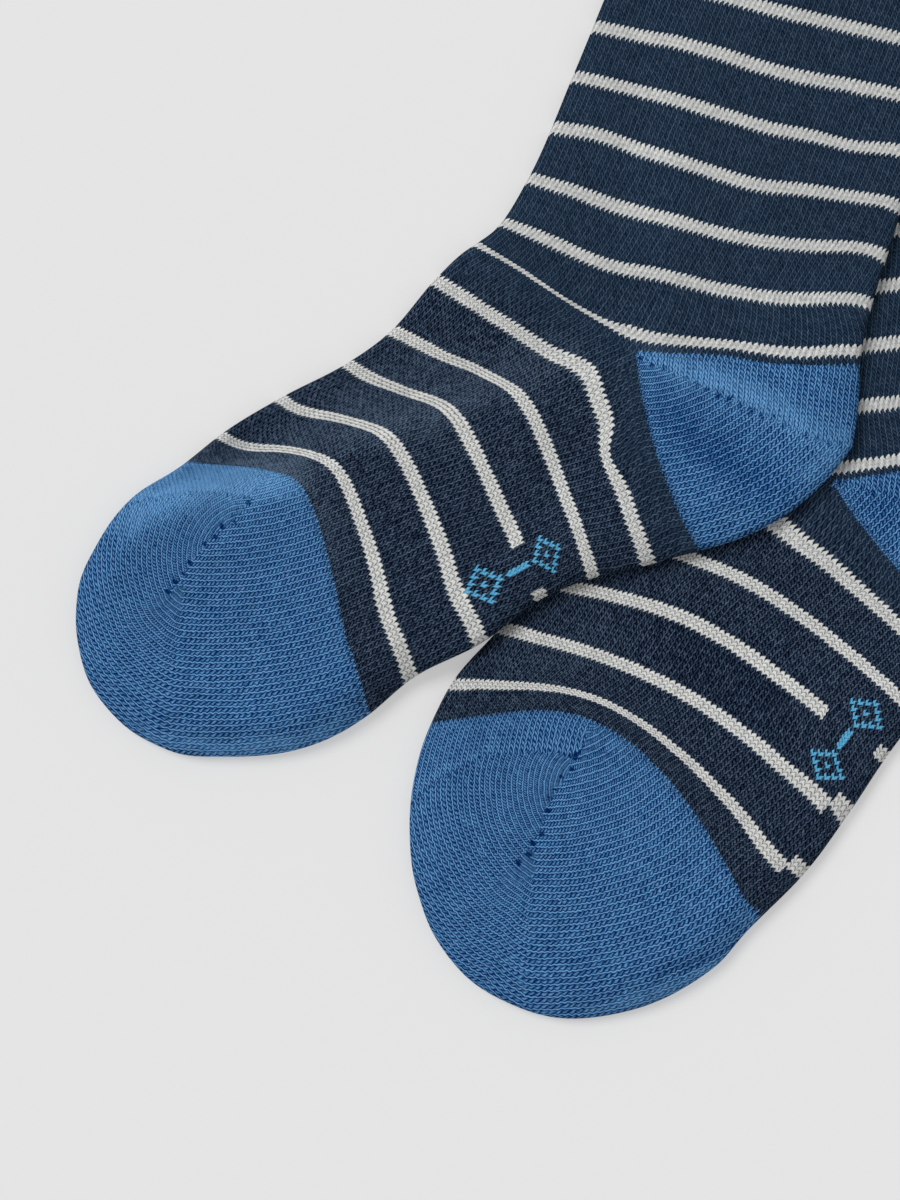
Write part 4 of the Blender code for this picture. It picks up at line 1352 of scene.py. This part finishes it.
def fanWales(sock, places, centres):
    # the pocket's wales are arcs: they run beside the gusset, turn round its end and come back below it
    fan = {
        name: (np.array(centre), radius, pitch)
        for name, (centre, radius, pitch) in sock.sizes["fan"].items()
    }
    middle = fan["middle"][0]
    starts, ends = wayOf(middle - fan["front"][0]), wayOf(middle - fan["sole"][0])
    turn = (ends - starts) % (2 * math.pi)
    side, _ = alongLine(sock.sizes["gusset"], centres)
    inFan = (wayOf(centres - middle) - starts) % (2 * math.pi) < turn
    values = np.empty(places.shape)
    for name, picked in (("middle", inFan), ("front", ~inFan & (side > 0)), ("sole", ~inFan & (side <= 0))):
        centre, radius, pitch = fan[name]
        out = places[picked] - centre
        begin = ends if name == "sole" else starts
        swept = (wayOf(out) - begin + math.pi) % (2 * math.pi) - math.pi
        if name == "middle":
            early, late = fan["front"][2], fan["sole"][2]
            pitch = np.interp(swept / turn, (0.0, toeKnit["fanReach"], 1.0), (early, pitch, late))
        before = turn * fan["middle"][1] if name == "sole" else 0.0
        away = np.linalg.norm(out, axis=2) - np.linalg.norm(centre - middle)
        values[picked] = np.stack([away / pitch, (swept * radius + before) / pocketKnit["course"]], axis=2)
    return values


def makeToe(sock):
    rows = rowsBetween(sock, "toeLine", "tipSide", toeKnit["rowStep"])
    last, tip = sock.marks["tipSide"], sock.marks["tip"]
    rows = np.concatenate([rows, tip - (tip - last) * np.array(toeKnit["tipRows"])])
    s, t, folded = tubeGrid(sock, "foot", rows, toeKnit["halfColumns"])
    folded[-1] = True
    plan = sock.plan("foot", s, t)
    gusset, seam = (lineMap(sock.sizes[name], plan) for name in ("gusset", "seam"))
    relief = gussetGroove(gusset) + toeKnit["seamRidge"] * bell(seam[..., 0], toeKnit["seamWidth"])
    layers = skin(sock, plan, folded, sock.thickness("foot", s, t), relief)
    upper, _ = tubeWales(sock, "foot", s, t, plan)
    corners, centres = cornersOf(plan), faceCentres(plan).reshape(-1, 2)
    fan = fanWales(sock, corners.reshape(-1, 4, 2), centres).reshape(corners.shape)
    above = (faceCentres(seam)[..., 0] > 0) & (faceCentres(gusset)[..., 0] > 0)
    wales = np.where(above[:, :, None, None, None], upper, fan)
    bm = bmesh.new()
    maps = {"knit": wales, "gusset": cornersOf(gusset), "seam": cornersOf(seam)}
    addCloth(bm, sock, plan, layers, [maps, maps])
    name = sock.name + "_toe"
    finishPiece(name, bm, toeMaterial(name + "Yarn"), laidShape["wall"])


# the lower sock lies on the floor, and the upper one is draped over it
drape = {"gap": 0.5, "cell": 2.0, "reach": 6.0, "blur": 4.0, "rayHeight": 60.0}


def onFloor(places):
    return np.zeros(len(places))


def spread(heights, radius, combine):
    reach = int(radius // drape["cell"])
    offsets = range(-reach, reach + 1)
    near = [(a, b) for a in offsets for b in offsets if math.hypot(a, b) * drape["cell"] <= radius]
    return combine([np.roll(heights, shift, axis=(0, 1)) for shift in near], axis=0)


def drapeOver(names):
    # the height at which cloth lies over these pieces of the frame, for any place on the plan
    points, faces = [], []
    for name in names:
        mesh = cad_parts[name].data
        first = len(points)
        points += [vertex.co / mm - Vector((*pairPlace, 0)) for vertex in mesh.vertices]
        faces += [[first + k for k in face.vertices] for face in mesh.polygons]
    tree = BVHTree.FromPolygons(points, faces)
    spots = np.array([point[:2] for point in points])
    margin = drape["reach"] + drape["blur"] + 2 * drape["cell"]
    low, high = spots.min(axis=0) - margin, spots.max(axis=0) + margin
    xs, ys = (np.arange(low[k], high[k] + drape["cell"], drape["cell"]) for k in (0, 1))
    heights = np.zeros((len(xs), len(ys)))
    for i, x in enumerate(xs):
        for j, y in enumerate(ys):
            hit = tree.ray_cast(Vector((x, y, drape["rayHeight"])), Vector((0, 0, -1)))[0]
            heights[i, j] = hit.z if hit else 0.0
    heights = spread(spread(heights, drape["reach"], np.max), drape["blur"], np.mean)
    heights += drape["gap"] * smoothStep(heights)

    def baseHeight(places):
        cells = np.clip((places - low) / drape["cell"], 0, np.array(heights.shape) - 1.001)
        i, j = cells.astype(int).T
        a, b = (cells % 1).T
        return (
            (1 - a) * (1 - b) * heights[i, j]
            + a * (1 - b) * heights[i + 1, j]
            + (1 - a) * b * heights[i, j + 1]
            + a * b * heights[i + 1, j + 1]
        )

    return baseHeight


lowerNodes = ["lower_sock_" + piece for piece in ("cuff", "body", "heel", "toe")]
for sockName in ("lower_sock", "upper_sock"):
    sock = LaidSock(sockName, socks[sockName], onFloor if sockName == "lower_sock" else drapeOver(lowerNodes))
    for make in (makeCuff, makeBody, makeHeel, makeToe):
        make(sock)


# floor, light and camera
studio = {
    "floor": 0.38,  # how much of the light it scatters; the rest of its tone is its own glow
    "floorGlow": 0.395,
    "floorSize": 6.0,
    "floorDrop": 0.0002,
    "sun": 1.85,
    "sunSoftness": 26.0,
    "sunTilt": (36.0, -52.0),  # from straight above, and round towards the upper left
    "sky": 0.54,
    "white": (1.0, 1.0, 1.0, 1.0),
}


def makeFloor():
    bm = bmesh.new()
    bmesh.ops.create_grid(bm, x_segments=1, y_segments=1, size=studio["floorSize"] / 2)
    bmesh.ops.translate(bm, verts=bm.verts, vec=(0, 0, -studio["floorDrop"]))
    material, shader = newMaterial("paleFloor")
    setSockets(
        shader,
        {
            "Base Color": (*[studio["floor"]] * 3, 1.0),
            "Emission Color": studio["white"],
            "Emission Strength": studio["floorGlow"],
            "Roughness": 1.0,
            "Specular IOR Level": 0.0,
        },
    )
    floor = addObject("floor", meshOf("floor", bm, material))


def makeLight():
    lamp = bpy.data.lights.new("softKey", "SUN")
    lamp.energy = studio["sun"]
    lamp.angle = math.radians(studio["sunSoftness"])
    tilt, turn = (math.radians(angle) for angle in studio["sunTilt"])
    fromWhere = Vector((math.sin(tilt) * math.sin(turn), math.sin(tilt) * math.cos(turn), math.cos(tilt)))
    addObject("softKey", lamp).rotation_euler = fromWhere.to_track_quat("Z", "Y").to_euler()
    world = bpy.data.worlds.new("softSky")
    world.use_nodes = True
    setSockets(world.node_tree.nodes["Background"], {"Color": studio["white"], "Strength": studio["sky"]})
    bpy.context.scene.world = world


view = {
    "lens": 100.0,
    "sensor": 36.0,
    "tall": 230.77,  # what the camera takes in from top to bottom
    "level": 5.0,  # how high above the floor it takes in just that
}


def makeCamera():
    # straight above the plan's origin
    lens = bpy.data.cameras.new("overhead")
    lens.lens = view["lens"]
    lens.sensor_width = view["sensor"]
    camera = addObject("overhead", lens)
    height = view["lens"] * view["tall"] / view["sensor"] + view["level"]
    camera.location = (*(pairPlace * mm), height * mm)
    bpy.context.scene.camera = camera


makeFloor()
makeLight()
makeCamera()
bpy.context.scene.view_settings.view_transform = "Standard"
print("floor, light and camera set")
